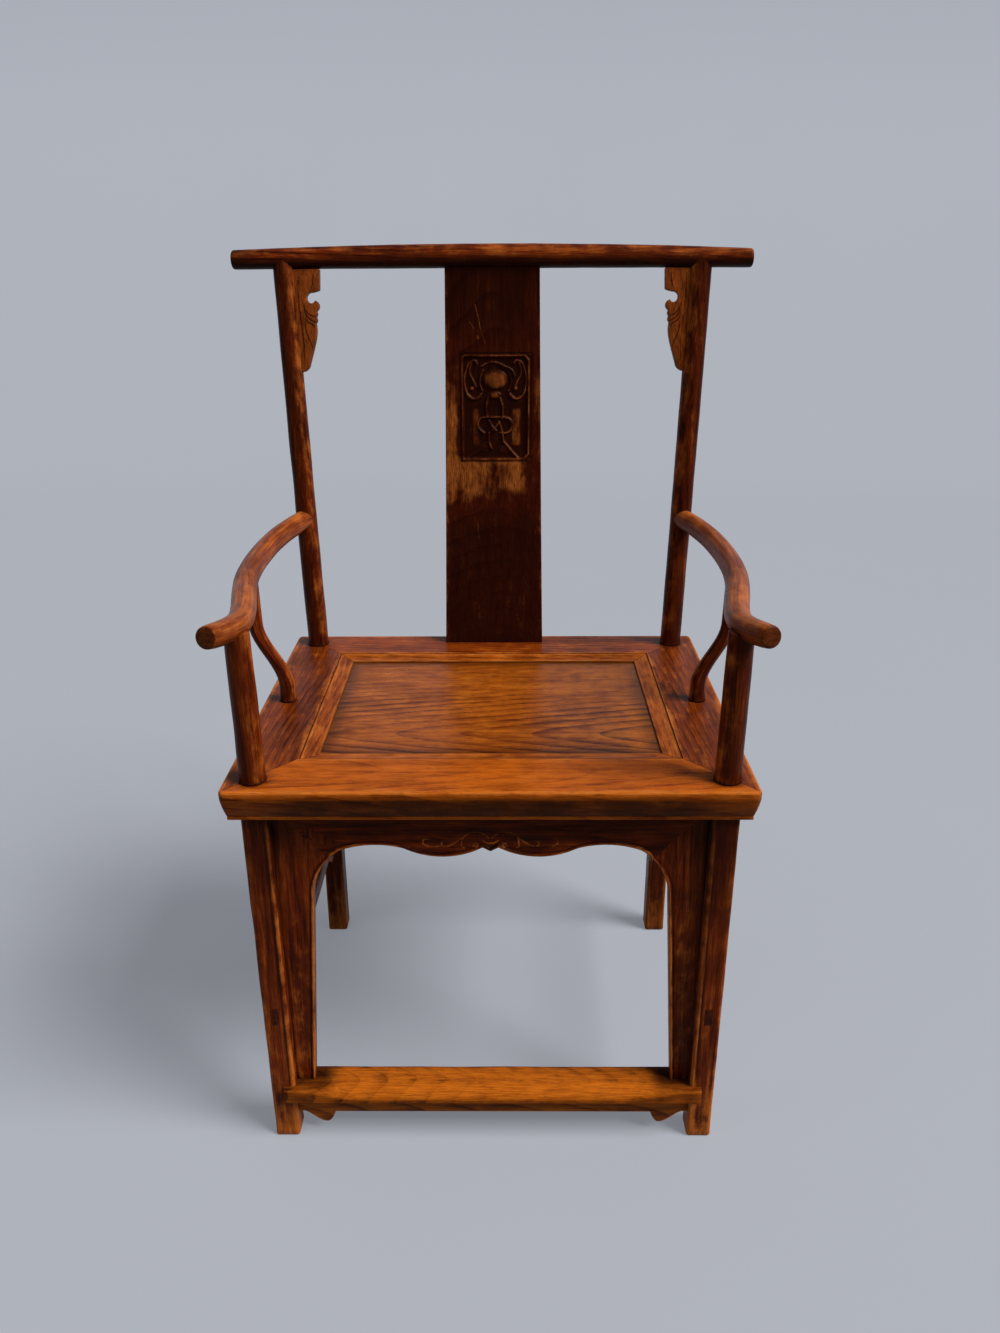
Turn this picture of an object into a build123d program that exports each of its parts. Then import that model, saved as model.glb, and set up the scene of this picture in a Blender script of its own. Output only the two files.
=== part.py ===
from build123d import *
import math
import os

# An armchair of the official's hat kind: a crest rail whose ends stand out past the back posts,
# bowed arms that run on past the front posts, a mitred seat frame with a framed panel, and an
# arched apron over a foot rail. All of it is joined with tenons, with no metal fastener.
#
# X runs across the chair, Y from the front to the back, Z up. The origin is on the floor, below
# the middle of the box that the whole chair fills. Sizes are in millimetres. Places along Y are
# given from the centre of the seat, which stands a little ahead of the origin.

# ------------------------------------------------------------------ overall sizes
seat_centre_y = -10.0
seat_width = 590.0
seat_depth = 470.0
seat_height = 516.0
crest_underside = 1031.0
crest_length = 684.0
fit = 0.15  # room on each side of a tenon in its mortise
overrun = 1.0  # how far a cut runs on past the face that it opens
root = 3.0  # how far a tenon reaches back into its own piece, so that the two are one solid

# ------------------------------------------------------------------ seat frame and panel
rail_thickness = 38.0
front_rail_width = 78.0
back_rail_width = 70.0
side_rail_width = 74.0
edge_band = 5.0  # plain band along the bottom of the moulded edge
edge_roll_in = 6.0  # how far the moulded edge rolls in above that band
edge_roll_height = 22.0
edge_roll_bulge = 1.5
edge_top_radius = 3.5
seat_corner_radius = 7.0
ledge_width = 24.0  # ledge inside the frame that the panel lies on
ledge_drop = 17.0
panel_thickness = 11.0
panel_gap = 0.8
moulding_width = 20.0
moulding_inner_height = 1.8
moulding_drop = 0.5
moulding_hollow = 1.4  # how far its face curves away from a straight slope
mitre_tenon_thickness = 11.0
mitre_tenon_inset = 10.0
mitre_tenon_cover = 2.0  # wood left between that tenon and the ledge
batten_width = 26.0
batten_depth = 19.0
batten_spacing = 200.0
batten_tenon_length = 12.0
batten_tenon_depth = 10.0
batten_tenon_shoulder = 4.0
batten_key_width = 14.0
batten_key_height = 4.0
batten_key_taper = 2.0  # how much narrower the dovetail is at the batten than in the panel
batten_rounding = 3.0

# ------------------------------------------------------------------ legs and posts
leg_width = 31.0
leg_corner_radius = 4.0
foot_softening = 3.0
front_post_inset_x = 33.0  # from the seat's edges to the middle of each post at the seat
front_post_inset_y = 29.0
back_post_inset_x = 34.5
back_post_inset_y = 30.0
front_foot_splay_x = 2.5  # how far each foot stands outside the post above it
back_foot_splay_x = 5.0
back_foot_splay_y = 8.5
back_post_spread = 16.0  # how far each back post leans out up to the crest rail
back_post_rake = 46.0  # how far it leans back
post_radius = 15.0
front_post_top_radius = 14.0
back_post_top_radius = 14.3
post_stations = 16
mitre_tenon_length = 37.0 - post_radius  # a thicker post leaves the frame a shorter, narrower tenon
mitre_tenon_width = 32.0 - post_radius
post_tenon_radius = 7.0
post_tenon_height = 18.0

# ------------------------------------------------------------------ arms and side posts
arm_height = 690.0  # middle of the arm where it is lowest
arm_back_rise = 13.0  # how far it rises to the back post
arm_bows = (  # share of the way from front post to back post, bow outward, rise
    (0.857, 20.5, 8.5),
    (0.632, 34.8, 1.5),
    (0.406, 29.6, 0.0),
    (0.223, 14.2, 0.0),
    (0.050, 4.3, 1.0),
)
arm_tip_reach = 47.0  # how far the free tip stands ahead of the front post
arm_tip_flare = 18.0
arm_tip_rise = 12.0
arm_radius = 14.4
arm_tip_radius = 12.2
arm_back_radius = 13.6
arm_tip_rounding = 3.0
arm_stations = 16
arm_tenon_radius = 6.0
arm_tenon_reach = 3.0  # how far an arm's tenon runs past the middle of the back post
side_post_y = 4.0
side_post_inset = 30.0  # from the seat's side edge to the middle of the post's foot
side_post_sway_start = 22.0  # height above the seat where the post begins to swing outward
side_post_sway_rise = 84.0  # height over which it does so
side_post_stations = 11
side_post_foot_radius = 10.2
side_post_head_radius = 8.5
side_post_tenon_radius = 6.5
side_post_tenon_depth = 18.0
side_post_head_tenon_radius = 5.0

# ------------------------------------------------------------------ crest rail, splat, brackets
crest_height = 31.0
crest_end_height = 24.0
crest_depth = 28.0
crest_end_depth = 25.0
crest_bow = 12.0  # how far the middle stands behind the parts over the posts
crest_stations = 13
crest_end_rounding = 3.0
splat_bottom_width = 143.0
splat_top_width = 127.0
splat_thickness = 12.0
splat_setback = 6.0  # from the middle of the back posts to the middle of the splat's foot
splat_bow = 14.0
splat_stations = 9
splat_edge_rounding = 1.5
splat_tongue_bottom = 8.0
splat_tongue_top = 9.0
bracket_thickness = 11.0
bracket_tongue_thickness = 4.0
bracket_tongue_depth = 4.0
bracket_width = 47.8  # from the middle of the back post to the inner edge, at the crest rail
bracket_height = 131.0
bracket_steps = (  # leaf outline below the crest rail: mid point and end point of each arc
    ((2.0, -26.7), (4.0, -27.5)),
    ((9.0, -28.9), (14.0, -29.5)),
    ((19.0, -36.0), (14.5, -42.5)),
    ((11.0, -42.5), (8.0, -39.0)),
    ((2.6, -45.0), (6.8, -53.0)),
    ((5.4, -56.5), (7.6, -60.0)),
    ((6.0, -64.0), (8.0, -68.0)),
)
bracket_leaf = ((8.0, -68.0), (7.4, -76.0), (11.0, -96.0), (18.4, -120.0))
bracket_heel = (22.0, -127.5)
bracket_shoulder_rise = 2.7
bracket_foot_run = 11.6

# ------------------------------------------------------------------ apron frame and foot rail
arch_setback = 13.0  # from the front of the leg to the face of the boards
arch_thickness = 12.0
arch_bead_width = 4.0
arch_bead_height = 1.2
arch_board_foot_width = 23.5  # from the inner face of the leg to the arch, at the foot rail
arch_spring_width = 41.0  # the same where the board's edge begins to curve
arch_spring_drop = 118.0  # heights in the arch are given downward from the seat's underside
arch_shoulder_width = 50.0
arch_shoulder_drop = 81.0
arch_corner_width = 75.0
arch_corner_drop = 53.0
arch_crown_width = 117.0
arch_crown_drop = 45.5
arch_hollow_x = 98.0  # the lobes in the middle are placed from the middle of the chair
arch_hollow_drop = 50.4
arch_lobe_x = 50.0
arch_lobe_drop = 61.2
arch_notch_x = 9.0
arch_notch_drop = 49.0
arch_pendant_drop = 54.0
arch_mitre_width = 61.0
arch_mitre_drop = 65.0
arch_mitre_slope = 0.9  # how far the mitre runs out for each millimetre that it rises
foot_rail_top = 83.5
foot_rail_thickness = 20.0
foot_rail_width = 44.5
foot_rail_reach = 9.0  # how far it stands ahead of the legs
foot_rail_end_inset = 17.5  # from a leg's outer face to the end of the rail's ear
foot_rail_corner_radius = 3.0
foot_rail_tenon_length = 12.0
foot_rail_tenon_width = 18.0
foot_rail_tenon_height = 10.0
foot_apron_setback = 7.0
foot_apron_bottom = 34.0
foot_apron_thickness = 11.0
foot_apron_drop = (  # lower edge of a drop beside a leg: distance in from the leg, height
    (-2.0, 1.0),
    (6.0, 1.0),
    (22.0, -10.0),
    (38.0, -16.0),
    (43.0, -10.0),
    (47.0, 0.0),
)

# ------------------------------------------------------------------ side and back frames
apron_thickness = 12.0
apron_end_run = 10.0  # level end of an apron's lower edge, most of it inside the leg
side_apron_height = 34.0
side_apron_end_height = 58.0
back_apron_height = 36.0
back_apron_end_height = 62.0
stretcher_width = 16.0
stretcher_height = 28.0
stretcher_rounding = 5.0
side_stretcher_z = 195.0
back_stretcher_z = 240.0
stretcher_tenon_width = 9.5
stretcher_tenon_height = 24.0
blind_tenon_length = 20.0
through_tenon_stand = 0.3  # how far a through tenon's worn end stands proud of the leg

# ------------------------------------------------------------------ sizes that follow from these
seat_underside = seat_height - rail_thickness
half_width = seat_width / 2
half_depth = seat_depth / 2
opening_x = half_width - side_rail_width  # inner edge of the side rails
opening_front = -half_depth + front_rail_width
opening_back = half_depth - back_rail_width
ledge_top = seat_height - ledge_drop
panel_top = ledge_top + panel_thickness
half_leg = leg_width / 2
front_neck_x = half_width - front_post_inset_x
front_neck_y = -half_depth + front_post_inset_y
back_neck_x = half_width - back_post_inset_x
back_neck_y = half_depth - back_post_inset_y
front_foot_x = front_neck_x + front_foot_splay_x
front_foot_y = front_neck_y
back_foot_x = back_neck_x + back_foot_splay_x
back_foot_y = back_neck_y + back_foot_splay_y
side_post_foot_x = half_width - side_post_inset
foot_rail_underside = foot_rail_top - foot_rail_thickness
leg_front_y = front_foot_y - half_leg
arch_front_y = leg_front_y + arch_setback
foot_rail_front_y = leg_front_y - foot_rail_reach
foot_rail_back_y = foot_rail_front_y + foot_rail_width


def piece_name(stem, side):
    """Name of a left-hand or right-hand piece: left is -X, as seen from in front of the chair."""
    return stem + ("_left" if side < 0 else "_right")


def keep(piece, label):
    """Label a finished piece and write its STEP file."""
    piece.part.label = label
    export_step(piece.part, "parts/" + label + ".step")


def at(x, y, z):
    """A point given from the seat centre."""
    return (x, seat_centre_y + y, z)


def between(low, high, share):
    """The value that lies a share of the way from low to high."""
    return low + (high - low) * share


def block(x_range, y_range, z_range):
    """A plain block between two places on each axis, measured from the seat centre."""
    size = (abs(x_range[1] - x_range[0]), abs(y_range[1] - y_range[0]), abs(z_range[1] - z_range[0]))
    centre = at(sum(x_range) / 2, sum(y_range) / 2, sum(z_range) / 2)
    return Pos(*centre) * Box(*size, mode=Mode.PRIVATE)


def stick(x, y, z_range, radius):
    """A plain vertical peg."""
    middle = at(x, y, sum(z_range) / 2)
    return Pos(*middle) * Cylinder(radius, z_range[1] - z_range[0], mode=Mode.PRIVATE)


# ------------------------------------------------------------------ shapes that others are cut to
def leg_blank(side, foot_x, foot_y, neck_x, neck_y):
    """A tapering square leg from the floor to the underside of the seat."""
    with BuildPart() as blank:
        for x, y, z in ((foot_x, foot_y, 0), (neck_x, neck_y, seat_underside)):
            with BuildSketch(Plane(at(side * x, y, z))):
                RectangleRounded(leg_width, leg_width, leg_corner_radius)
        loft(ruled=True)
    return blank.part


def front_leg_blank(side):
    """The square part of a front post, below the seat."""
    return leg_blank(side, front_foot_x, front_foot_y, front_neck_x, front_neck_y)


def back_leg_blank(side):
    """The square part of a back post, below the seat."""
    return leg_blank(side, back_foot_x, back_foot_y, back_neck_x, back_neck_y)


def leg_centre(foot, neck, z):
    """Where the centre of a leg lies along one axis at height z."""
    return between(foot, neck, z / seat_underside)


def back_post_centre(z):
    """Centre of a back post at height z: it leans out and curves gently back."""
    share = max(0.0, (z - seat_height) / (crest_underside - seat_height))
    x = back_neck_x + back_post_spread * share**1.15
    y = back_neck_y + back_post_rake * share**1.5
    return x, y


def back_post_blank(side):
    """The round part of a back post, from the seat up into the crest rail."""
    top = crest_underside + crest_height / 2
    with BuildPart() as blank:
        for step in range(post_stations):
            share = step / (post_stations - 1)
            z = between(seat_height, top, share)
            x, y = back_post_centre(z)
            with BuildSketch(Plane(at(side * x, y, z))):
                Circle(between(post_radius, back_post_top_radius, share))
        loft(ruled=True)
    return blank.part


def crest_section(x):
    """Depth, height and centre of the crest rail where it crosses x."""
    share = abs(x) / (crest_length / 2)
    post_x, post_y = back_post_centre(crest_underside)
    height = between(crest_height, crest_end_height, share**2)
    depth = between(crest_depth, crest_end_depth, share**2)
    y = post_y + crest_bow * (1 - (x / post_x) ** 2)
    return depth, height, y


def end_loss(distance, rounding):
    """How much smaller the radius of a rounded end is at this distance from its tip."""
    if distance >= rounding:
        return 0
    return rounding - math.sqrt(rounding**2 - (rounding - distance) ** 2)


def end_steps(rounding):
    """Distances from the tip of a rounded end at which it gets a section."""
    return (rounding, 0.3 * rounding, 0)


def crest_blank():
    """The crest rail with its rounded ends, before its mortises are cut."""
    reach = crest_length / 2
    inner = [between(-reach, reach, step / (crest_stations - 1)) for step in range(1, crest_stations - 1)]
    ends = [reach - distance for distance in end_steps(crest_end_rounding)]
    with BuildPart() as blank:
        for x in [-end for end in reversed(ends)] + inner + ends:
            depth, height, y = crest_section(x)
            loss = end_loss(reach - abs(x), crest_end_rounding)
            centre = at(x, y, crest_underside + height / 2)
            with BuildSketch(Plane(centre, x_dir=(0, 1, 0), z_dir=(1, 0, 0))):
                Ellipse(depth / 2 - loss, height / 2 - loss)
        loft(ruled=True)
    return blank.part


def arm_route(side):
    """Centre line of an arm, from inside the back post, over the front post, to its free tip."""
    back_x, back_y = back_post_centre(arm_height + arm_back_rise)
    stops = [at(side * back_x, back_y, arm_height + arm_back_rise)]
    for share, bow, rise in arm_bows:
        x = between(front_neck_x, back_x, share) + bow
        y = between(front_neck_y, back_y, share)
        stops.append(at(side * x, y, arm_height + rise))
    tip_x = side * (front_neck_x + arm_tip_flare)
    stops.append(at(tip_x, front_neck_y - arm_tip_reach, arm_height + arm_tip_rise))
    return Edge.make_spline([Vector(*stop) for stop in stops])


def arm_place(y):
    """X and Z of the right-hand arm's centre line where it passes y, found by halving."""
    route = arm_route(1)
    near, far = 0.0, 1.0
    for _ in range(30):
        middle = (near + far) / 2
        if (route @ middle).Y > seat_centre_y + y:
            near = middle
        else:
            far = middle
    found = route @ near
    return found.X, found.Z


def arm_width_at(share):
    """Radius of an arm at a share of its length, counted from the back post."""
    swelling = 1 - abs(2 * share - 1) ** 3
    end_radius = between(arm_back_radius, arm_tip_radius, share)
    return between(end_radius, arm_radius, swelling)


def arm_blank(side):
    """A bowed round arm, from inside the back post to its free tip."""
    route = arm_route(side)
    shares = [step / (arm_stations - 1) for step in range(arm_stations - 1)]
    shares += [1 - distance / route.length for distance in end_steps(arm_tip_rounding)]
    with BuildPart() as blank:
        for share in shares:
            loss = end_loss((1 - share) * route.length, arm_tip_rounding)
            with BuildSketch(Plane(route @ share, z_dir=route % share)):
                Circle(arm_width_at(share) - loss)
        loft(ruled=True)
    return blank.part


def arch_x(width, z):
    """X of a place in the arch that lies width in from the inner face of the front leg at z."""
    return leg_centre(front_foot_x, front_neck_x, z) - half_leg - width


def arch_opening(growth):
    """The opening that the two boards and the apron frame, or one that is wider by growth.

    Its sides stand upright at the foot and its top is level at the crown, so growth goes into X
    at the first, into Z at the second, and into a share of each on the curve between them.
    """
    foot = (arch_x(arch_board_foot_width, foot_rail_top) + growth, foot_rail_top)
    spring_z = seat_underside - arch_spring_drop
    spring = (arch_x(arch_spring_width, spring_z) + growth, spring_z)
    shoulder_z = seat_underside - arch_shoulder_drop
    shoulder = (arch_x(arch_shoulder_width, shoulder_z) + 0.8 * growth, shoulder_z + 0.6 * growth)
    corner_z = seat_underside - arch_corner_drop
    corner = (arch_x(arch_corner_width, corner_z) + 0.3 * growth, corner_z + growth)
    crown_z = seat_underside - arch_crown_drop
    crown = (arch_x(arch_crown_width, crown_z), crown_z + growth)
    hollow = (arch_hollow_x, seat_underside - arch_hollow_drop + growth)
    lobe = (arch_lobe_x, seat_underside - arch_lobe_drop + growth)
    notch = (arch_notch_x, seat_underside - arch_notch_drop + growth)
    pendant = (0, seat_underside - arch_pendant_drop + growth)
    with BuildSketch(Plane.XY) as opening:
        with BuildLine():
            Line((0, foot_rail_top), foot)
            Line(foot, spring)
            ThreePointArc(spring, shoulder, corner)
            ThreePointArc(corner, crown, hollow)
            ThreePointArc(hollow, lobe, notch)
            Line(notch, pendant)
            mirror(about=Plane.YZ)
        make_face()
    return opening.sketch


os.makedirs("parts", exist_ok=True)


# ------------------------------------------------------------------ seat frame
def edge_hollow():
    """What the moulded edge lacks of a square one, all round the seat: the roll above its band."""
    radius = seat_corner_radius
    middle = at(0, -half_depth, seat_underside)
    with BuildPart() as hollow:
        with BuildLine(Plane(at(0, 0, seat_underside))):
            front = Line((0, -half_depth), (half_width - radius, -half_depth))
            near_corner = JernArc(front @ 1, front % 1, radius, 90)
            beside = Line(near_corner @ 1, (half_width, half_depth - radius))
            far_corner = JernArc(beside @ 1, beside % 1, radius, 90)
            Line(far_corner @ 1, (0, half_depth))
        with BuildSketch(Plane(middle, x_dir=(0, -1, 0), z_dir=(-1, 0, 0))):
            with BuildLine():
                SagittaArc((-edge_roll_in, edge_band), (0, edge_band + edge_roll_height), edge_roll_bulge)
                Polyline(
                    (0, edge_band + edge_roll_height),
                    (overrun, edge_band + edge_roll_height),
                    (overrun, -overrun),
                    (-edge_roll_in, -overrun),
                    (-edge_roll_in, edge_band),
                )
            make_face()
        sweep()
        mirror(about=Plane.YZ)
    return hollow.part


def seat_frame_blank():
    """The whole seat frame with its moulded edge, ledge and post holes, before it is mitred."""
    hollow = edge_hollow()
    with BuildPart() as blank:
        with BuildSketch(Plane(at(0, 0, seat_underside))):
            RectangleRounded(seat_width, seat_depth, seat_corner_radius)
        extrude(amount=rail_thickness)
        fillet(blank.faces().sort_by(Axis.Z)[-1].edges(), edge_top_radius)
        add(hollow, mode=Mode.SUBTRACT)
        inside_x = opening_x - ledge_width
        inside_y = (opening_front + ledge_width, opening_back - ledge_width)
        through = (seat_underside - overrun, seat_height + overrun)
        add(block((-inside_x, inside_x), inside_y, through), mode=Mode.SUBTRACT)
        recess_y = (opening_front, opening_back)
        recess_z = (ledge_top, seat_height + overrun)
        add(block((-opening_x, opening_x), recess_y, recess_z), mode=Mode.SUBTRACT)
        for side in (-1, 1):
            add(stick(side * front_neck_x, front_neck_y, through, post_radius + fit), mode=Mode.SUBTRACT)
            add(stick(side * back_neck_x, back_neck_y, through, post_radius + fit), mode=Mode.SUBTRACT)
    return blank.part


def rail_wedge(corners):
    """The upright prism that one mitred rail fills, given by its corners in plan."""
    with BuildPart() as wedge:
        with BuildSketch(Plane(at(0, 0, seat_underside - overrun))):
            with BuildLine():
                Polyline(*corners, close=True)
            make_face()
        extrude(amount=rail_thickness + 2 * overrun)
    return wedge.part


def mitre_points(side, end):
    """One mitre in plan, from the frame's outer corner past the opening's to the ledge's."""
    opening_y = opening_front if end < 0 else opening_back
    outer = (side * half_width, end * half_depth)
    opening = (side * opening_x, opening_y)
    ledge = (side * (opening_x - ledge_width), opening_y - end * ledge_width)
    return [outer, opening, ledge]


def cross_rail_wedge(end):
    """The prism of the front rail (end -1) or the back rail (end 1)."""
    return rail_wedge(mitre_points(-1, end) + mitre_points(1, end)[::-1])


def side_rail_wedge(side):
    """The prism of one side rail."""
    return rail_wedge(mitre_points(side, -1) + mitre_points(side, 1)[::-1])


seat_frame = seat_frame_blank()


def mitre_tenon(side, end, room):
    """Tenon that carries a front or back rail into a side rail, inward of the post hole."""
    edge = opening_front if end < 0 else opening_back
    near = edge + end * mitre_tenon_inset
    y_range = (near - end * room, near + end * (mitre_tenon_width + room))
    far_x = opening_x + mitre_tenon_inset + mitre_tenon_length
    top = ledge_top - mitre_tenon_cover
    z_range = (top - mitre_tenon_thickness - room, top + room)
    return block((side * (opening_x - root), side * (far_x + room)), y_range, z_range)


def batten_tenon(side, end, room):
    """Tenon at one end of a seat batten, let into the ledge of the front or back rail."""
    x = side * batten_spacing / 2
    half = batten_width / 2 - batten_tenon_shoulder + room
    face = (opening_front + ledge_width) if end < 0 else (opening_back - ledge_width)
    y_range = (face - end * overrun, face + end * (batten_tenon_length + room))
    top = ledge_top - batten_tenon_shoulder
    return block((x - half, x + half), y_range, (top - batten_tenon_depth - room, top + room))


def side_post_tenon(side, room):
    """Round tenon at the foot of a side post, in the top of a side rail."""
    z_range = (seat_height - side_post_tenon_depth - room, seat_height + overrun)
    return stick(side * side_post_foot_x, side_post_y, z_range, side_post_tenon_radius + room)


def splat_blank():
    """The splat: bowed in side view, tapering in front view, with its edges softened."""
    foot_y = back_neck_y + splat_setback
    head_y = crest_section(0)[2]
    foot = at(0, foot_y, seat_height - splat_tongue_bottom)
    head = at(0, head_y, crest_underside + splat_tongue_top)
    middle = at(0, (foot_y + head_y) / 2 + splat_bow, (foot[2] + head[2]) / 2)
    bow = Edge.make_three_point_arc(Vector(*foot), Vector(*middle), Vector(*head))
    with BuildPart() as blank:
        for step in range(splat_stations):
            share = step / (splat_stations - 1)
            width = between(splat_bottom_width, splat_top_width, share)
            with BuildSketch(Plane(bow @ share, x_dir=(1, 0, 0), z_dir=bow % share)):
                RectangleRounded(width, splat_thickness, splat_edge_rounding)
        loft(ruled=True)
    return blank.part


splat_shape = splat_blank()

front_wedge = cross_rail_wedge(-1)
with BuildPart() as seat_rail_front:
    add(seat_frame)
    add(front_wedge, mode=Mode.INTERSECT)
    for side in (-1, 1):
        add(mitre_tenon(side, -1, 0))
        add(batten_tenon(side, -1, fit), mode=Mode.SUBTRACT)
keep(seat_rail_front, "seat_rail_front")

back_wedge = cross_rail_wedge(1)
with BuildPart() as seat_rail_back:
    add(seat_frame)
    add(back_wedge, mode=Mode.INTERSECT)
    for side in (-1, 1):
        add(mitre_tenon(side, 1, 0))
        add(batten_tenon(side, 1, fit), mode=Mode.SUBTRACT)
    add(splat_shape, mode=Mode.SUBTRACT)
keep(seat_rail_back, "seat_rail_back")

for side in (-1, 1):
    side_wedge = side_rail_wedge(side)
    with BuildPart() as seat_rail_side:
        add(seat_frame)
        add(side_wedge, mode=Mode.INTERSECT)
        for end in (-1, 1):
            add(mitre_tenon(side, end, fit), mode=Mode.SUBTRACT)
        add(side_post_tenon(side, fit), mode=Mode.SUBTRACT)
    keep(seat_rail_side, piece_name("seat_rail", side))

# ------------------------------------------------------------------ panel, mouldings, battens
panel_x = opening_x - panel_gap
panel_y = (opening_front + panel_gap, opening_back - panel_gap)


def batten_key(side, room):
    """Dovetail along the top of a batten, which slides into the underside of the panel."""
    x = side * batten_spacing / 2
    half = batten_key_width / 2 + room
    y_range = (opening_front + ledge_width, opening_back - ledge_width)
    with BuildPart() as key:
        with BuildSketch(Plane(at(x, y_range[0], ledge_top), x_dir=(1, 0, 0), z_dir=(0, 1, 0))):
            with BuildLine():
                Polyline(
                    (-half + batten_key_taper, overrun),
                    (half - batten_key_taper, overrun),
                    (half, -batten_key_height - room),
                    (-half, -batten_key_height - room),
                    close=True,
                )
            make_face()
        extrude(amount=y_range[1] - y_range[0])
    return key.part


key_slots = [batten_key(side, fit) for side in (-1, 1)]
with BuildPart() as seat_panel:
    add(block((-panel_x, panel_x), panel_y, (ledge_top, panel_top)))
    add(key_slots, mode=Mode.SUBTRACT)
keep(seat_panel, "seat_panel")

for side in (-1, 1):
    key = batten_key(side, 0)
    with BuildPart() as seat_batten:
        x = side * batten_spacing / 2
        batten_x = (x - batten_width / 2, x + batten_width / 2)
        batten_y = (opening_front + ledge_width, opening_back - ledge_width)
        add(block(batten_x, batten_y, (ledge_top - batten_depth, ledge_top)))
        under = seat_batten.edges().filter_by(Axis.Y).group_by(Axis.Z)[0]
        fillet(under, batten_rounding)
        add(key)
        for end in (-1, 1):
            add(batten_tenon(side, end, 0))
    keep(seat_batten, piece_name("seat_batten", side))


def moulding(run, outward, length, edge):
    """One mitred strip that holds the panel down, sloping from the frame to the panel.

    run is the direction along the strip, outward the direction to the frame, edge the middle of
    its outer lower edge, and length the length of that edge.
    """
    height = seat_height - moulding_drop - panel_top
    with BuildPart() as strip:
        with BuildSketch(Plane(edge, x_dir=outward, z_dir=run)):
            with BuildLine():
                rise = 1 if Vector(*run).cross(Vector(*outward)).Z > 0 else -1
                Line((0, 0), (-moulding_width, 0))
                Line((-moulding_width, 0), (-moulding_width, rise * moulding_inner_height))
                SagittaArc(
                    (-moulding_width, rise * moulding_inner_height),
                    (0, rise * height),
                    -rise * moulding_hollow,
                )
                Line((0, rise * height), (0, 0))
            make_face()
        extrude(amount=length / 2, both=True)
        with BuildSketch(Plane(edge, x_dir=run, z_dir=(0, 0, 1))):
            inward = -1 if Vector(0, 0, 1).cross(Vector(*run)).dot(Vector(*outward)) > 0 else 1
            with BuildLine():
                Polyline(
                    (-length / 2, 0),
                    (length / 2, 0),
                    (length / 2 - moulding_width, inward * moulding_width),
                    (-length / 2 + moulding_width, inward * moulding_width),
                    close=True,
                )
            make_face()
        extrude(amount=rail_thickness, mode=Mode.INTERSECT)
    return strip


panel_middle_y = sum(panel_y) / 2
panel_depth = panel_y[1] - panel_y[0]
strips = (
    ("front", (1, 0, 0), (0, -1, 0), 2 * panel_x, at(0, panel_y[0], panel_top)),
    ("back", (1, 0, 0), (0, 1, 0), 2 * panel_x, at(0, panel_y[1], panel_top)),
    ("left", (0, 1, 0), (-1, 0, 0), panel_depth, at(-panel_x, panel_middle_y, panel_top)),
    ("right", (0, 1, 0), (1, 0, 0), panel_depth, at(panel_x, panel_middle_y, panel_top)),
)
for where, run, outward, length, edge in strips:
    keep(moulding(run, outward, length, edge), "seat_moulding_" + where)


# ------------------------------------------------------------------ tenons shared by two pieces
def foot_rail_tenon(side, room):
    """Tenon of the foot rail in the inner face of a front leg."""
    x = leg_centre(front_foot_x, front_neck_x, foot_rail_top) - half_leg
    half = foot_rail_tenon_width / 2 + room
    z = foot_rail_top - foot_rail_thickness / 2
    x_range = (side * (x - root), side * (x + foot_rail_tenon_length + room))
    z_range = (z - foot_rail_tenon_height / 2 - room, z + foot_rail_tenon_height / 2 + room)
    return block(x_range, (front_foot_y - half, front_foot_y + half), z_range)


def side_stretcher_x():
    """How far from the middle of the chair a side stretcher runs."""
    front = leg_centre(front_foot_x, front_neck_x, side_stretcher_z)
    back = leg_centre(back_foot_x, back_neck_x, side_stretcher_z)
    return (front + back) / 2


def side_stretcher_tenons(side, room):
    """The through tenon in the front leg and the blind one in the back leg."""
    x = side * side_stretcher_x()
    half = stretcher_tenon_width / 2 + room
    front_y = leg_centre(front_foot_y, front_neck_y, side_stretcher_z)
    back_y = leg_centre(back_foot_y, back_neck_y, side_stretcher_z)
    reach = stretcher_tenon_height / 2 + room
    z_range = (side_stretcher_z - reach, side_stretcher_z + reach)
    front_face = front_y - half_leg - through_tenon_stand - 5 * room
    front = block((x - half, x + half), (front_face, front_y + half_leg + root), z_range)
    back_face = back_y - half_leg
    back = block((x - half, x + half), (back_face - root, back_face + blind_tenon_length + room), z_range)
    return front + back


def back_stretcher_tenon(side, room):
    """Blind tenon of the back stretcher in the inner face of a back leg."""
    x = leg_centre(back_foot_x, back_neck_x, back_stretcher_z) - half_leg
    y = leg_centre(back_foot_y, back_neck_y, back_stretcher_z)
    half = stretcher_tenon_width / 2 + room
    reach = stretcher_tenon_height / 2 + room
    x_range = (side * (x - root), side * (x + blind_tenon_length + room))
    return block(x_range, (y - half, y + half), (back_stretcher_z - reach, back_stretcher_z + reach))


def front_post_tenon(side, room):
    """Round tenon that carries the arm on top of a front post."""
    z = arm_place(front_neck_y)[1]
    z_range = (z - arm_radius - root, z + arm_radius / 3 + room)
    return stick(side * front_neck_x, front_neck_y, z_range, arm_tenon_radius + room)


def side_post_head_tenon(side, room):
    """Round tenon at the head of a side post, in the underside of the arm."""
    x, z = arm_place(side_post_y)
    z_range = (z - arm_radius - root, z + room)
    return stick(side * x, side_post_y, z_range, side_post_head_tenon_radius + room)


def arm_back_tenon(side, room):
    """Round tenon of an arm in the front of a back post, in line with the arm."""
    route = arm_route(side)
    direction = -(route % 0)
    back = back_post_top_radius + root
    length = back + arm_tenon_reach + room
    middle = route @ 0 + direction * (length / 2 - back)
    return Plane(middle, z_dir=direction) * Cylinder(arm_tenon_radius + room, length, mode=Mode.PRIVATE)


def crest_tenon(side, room):
    """Round tenon on top of a back post, in the underside of the crest rail."""
    x, y = back_post_centre(crest_underside)
    z_range = (crest_underside - 2 * root, crest_underside + post_tenon_height + room)
    return stick(side * x, y, z_range, post_tenon_radius + room)


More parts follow.
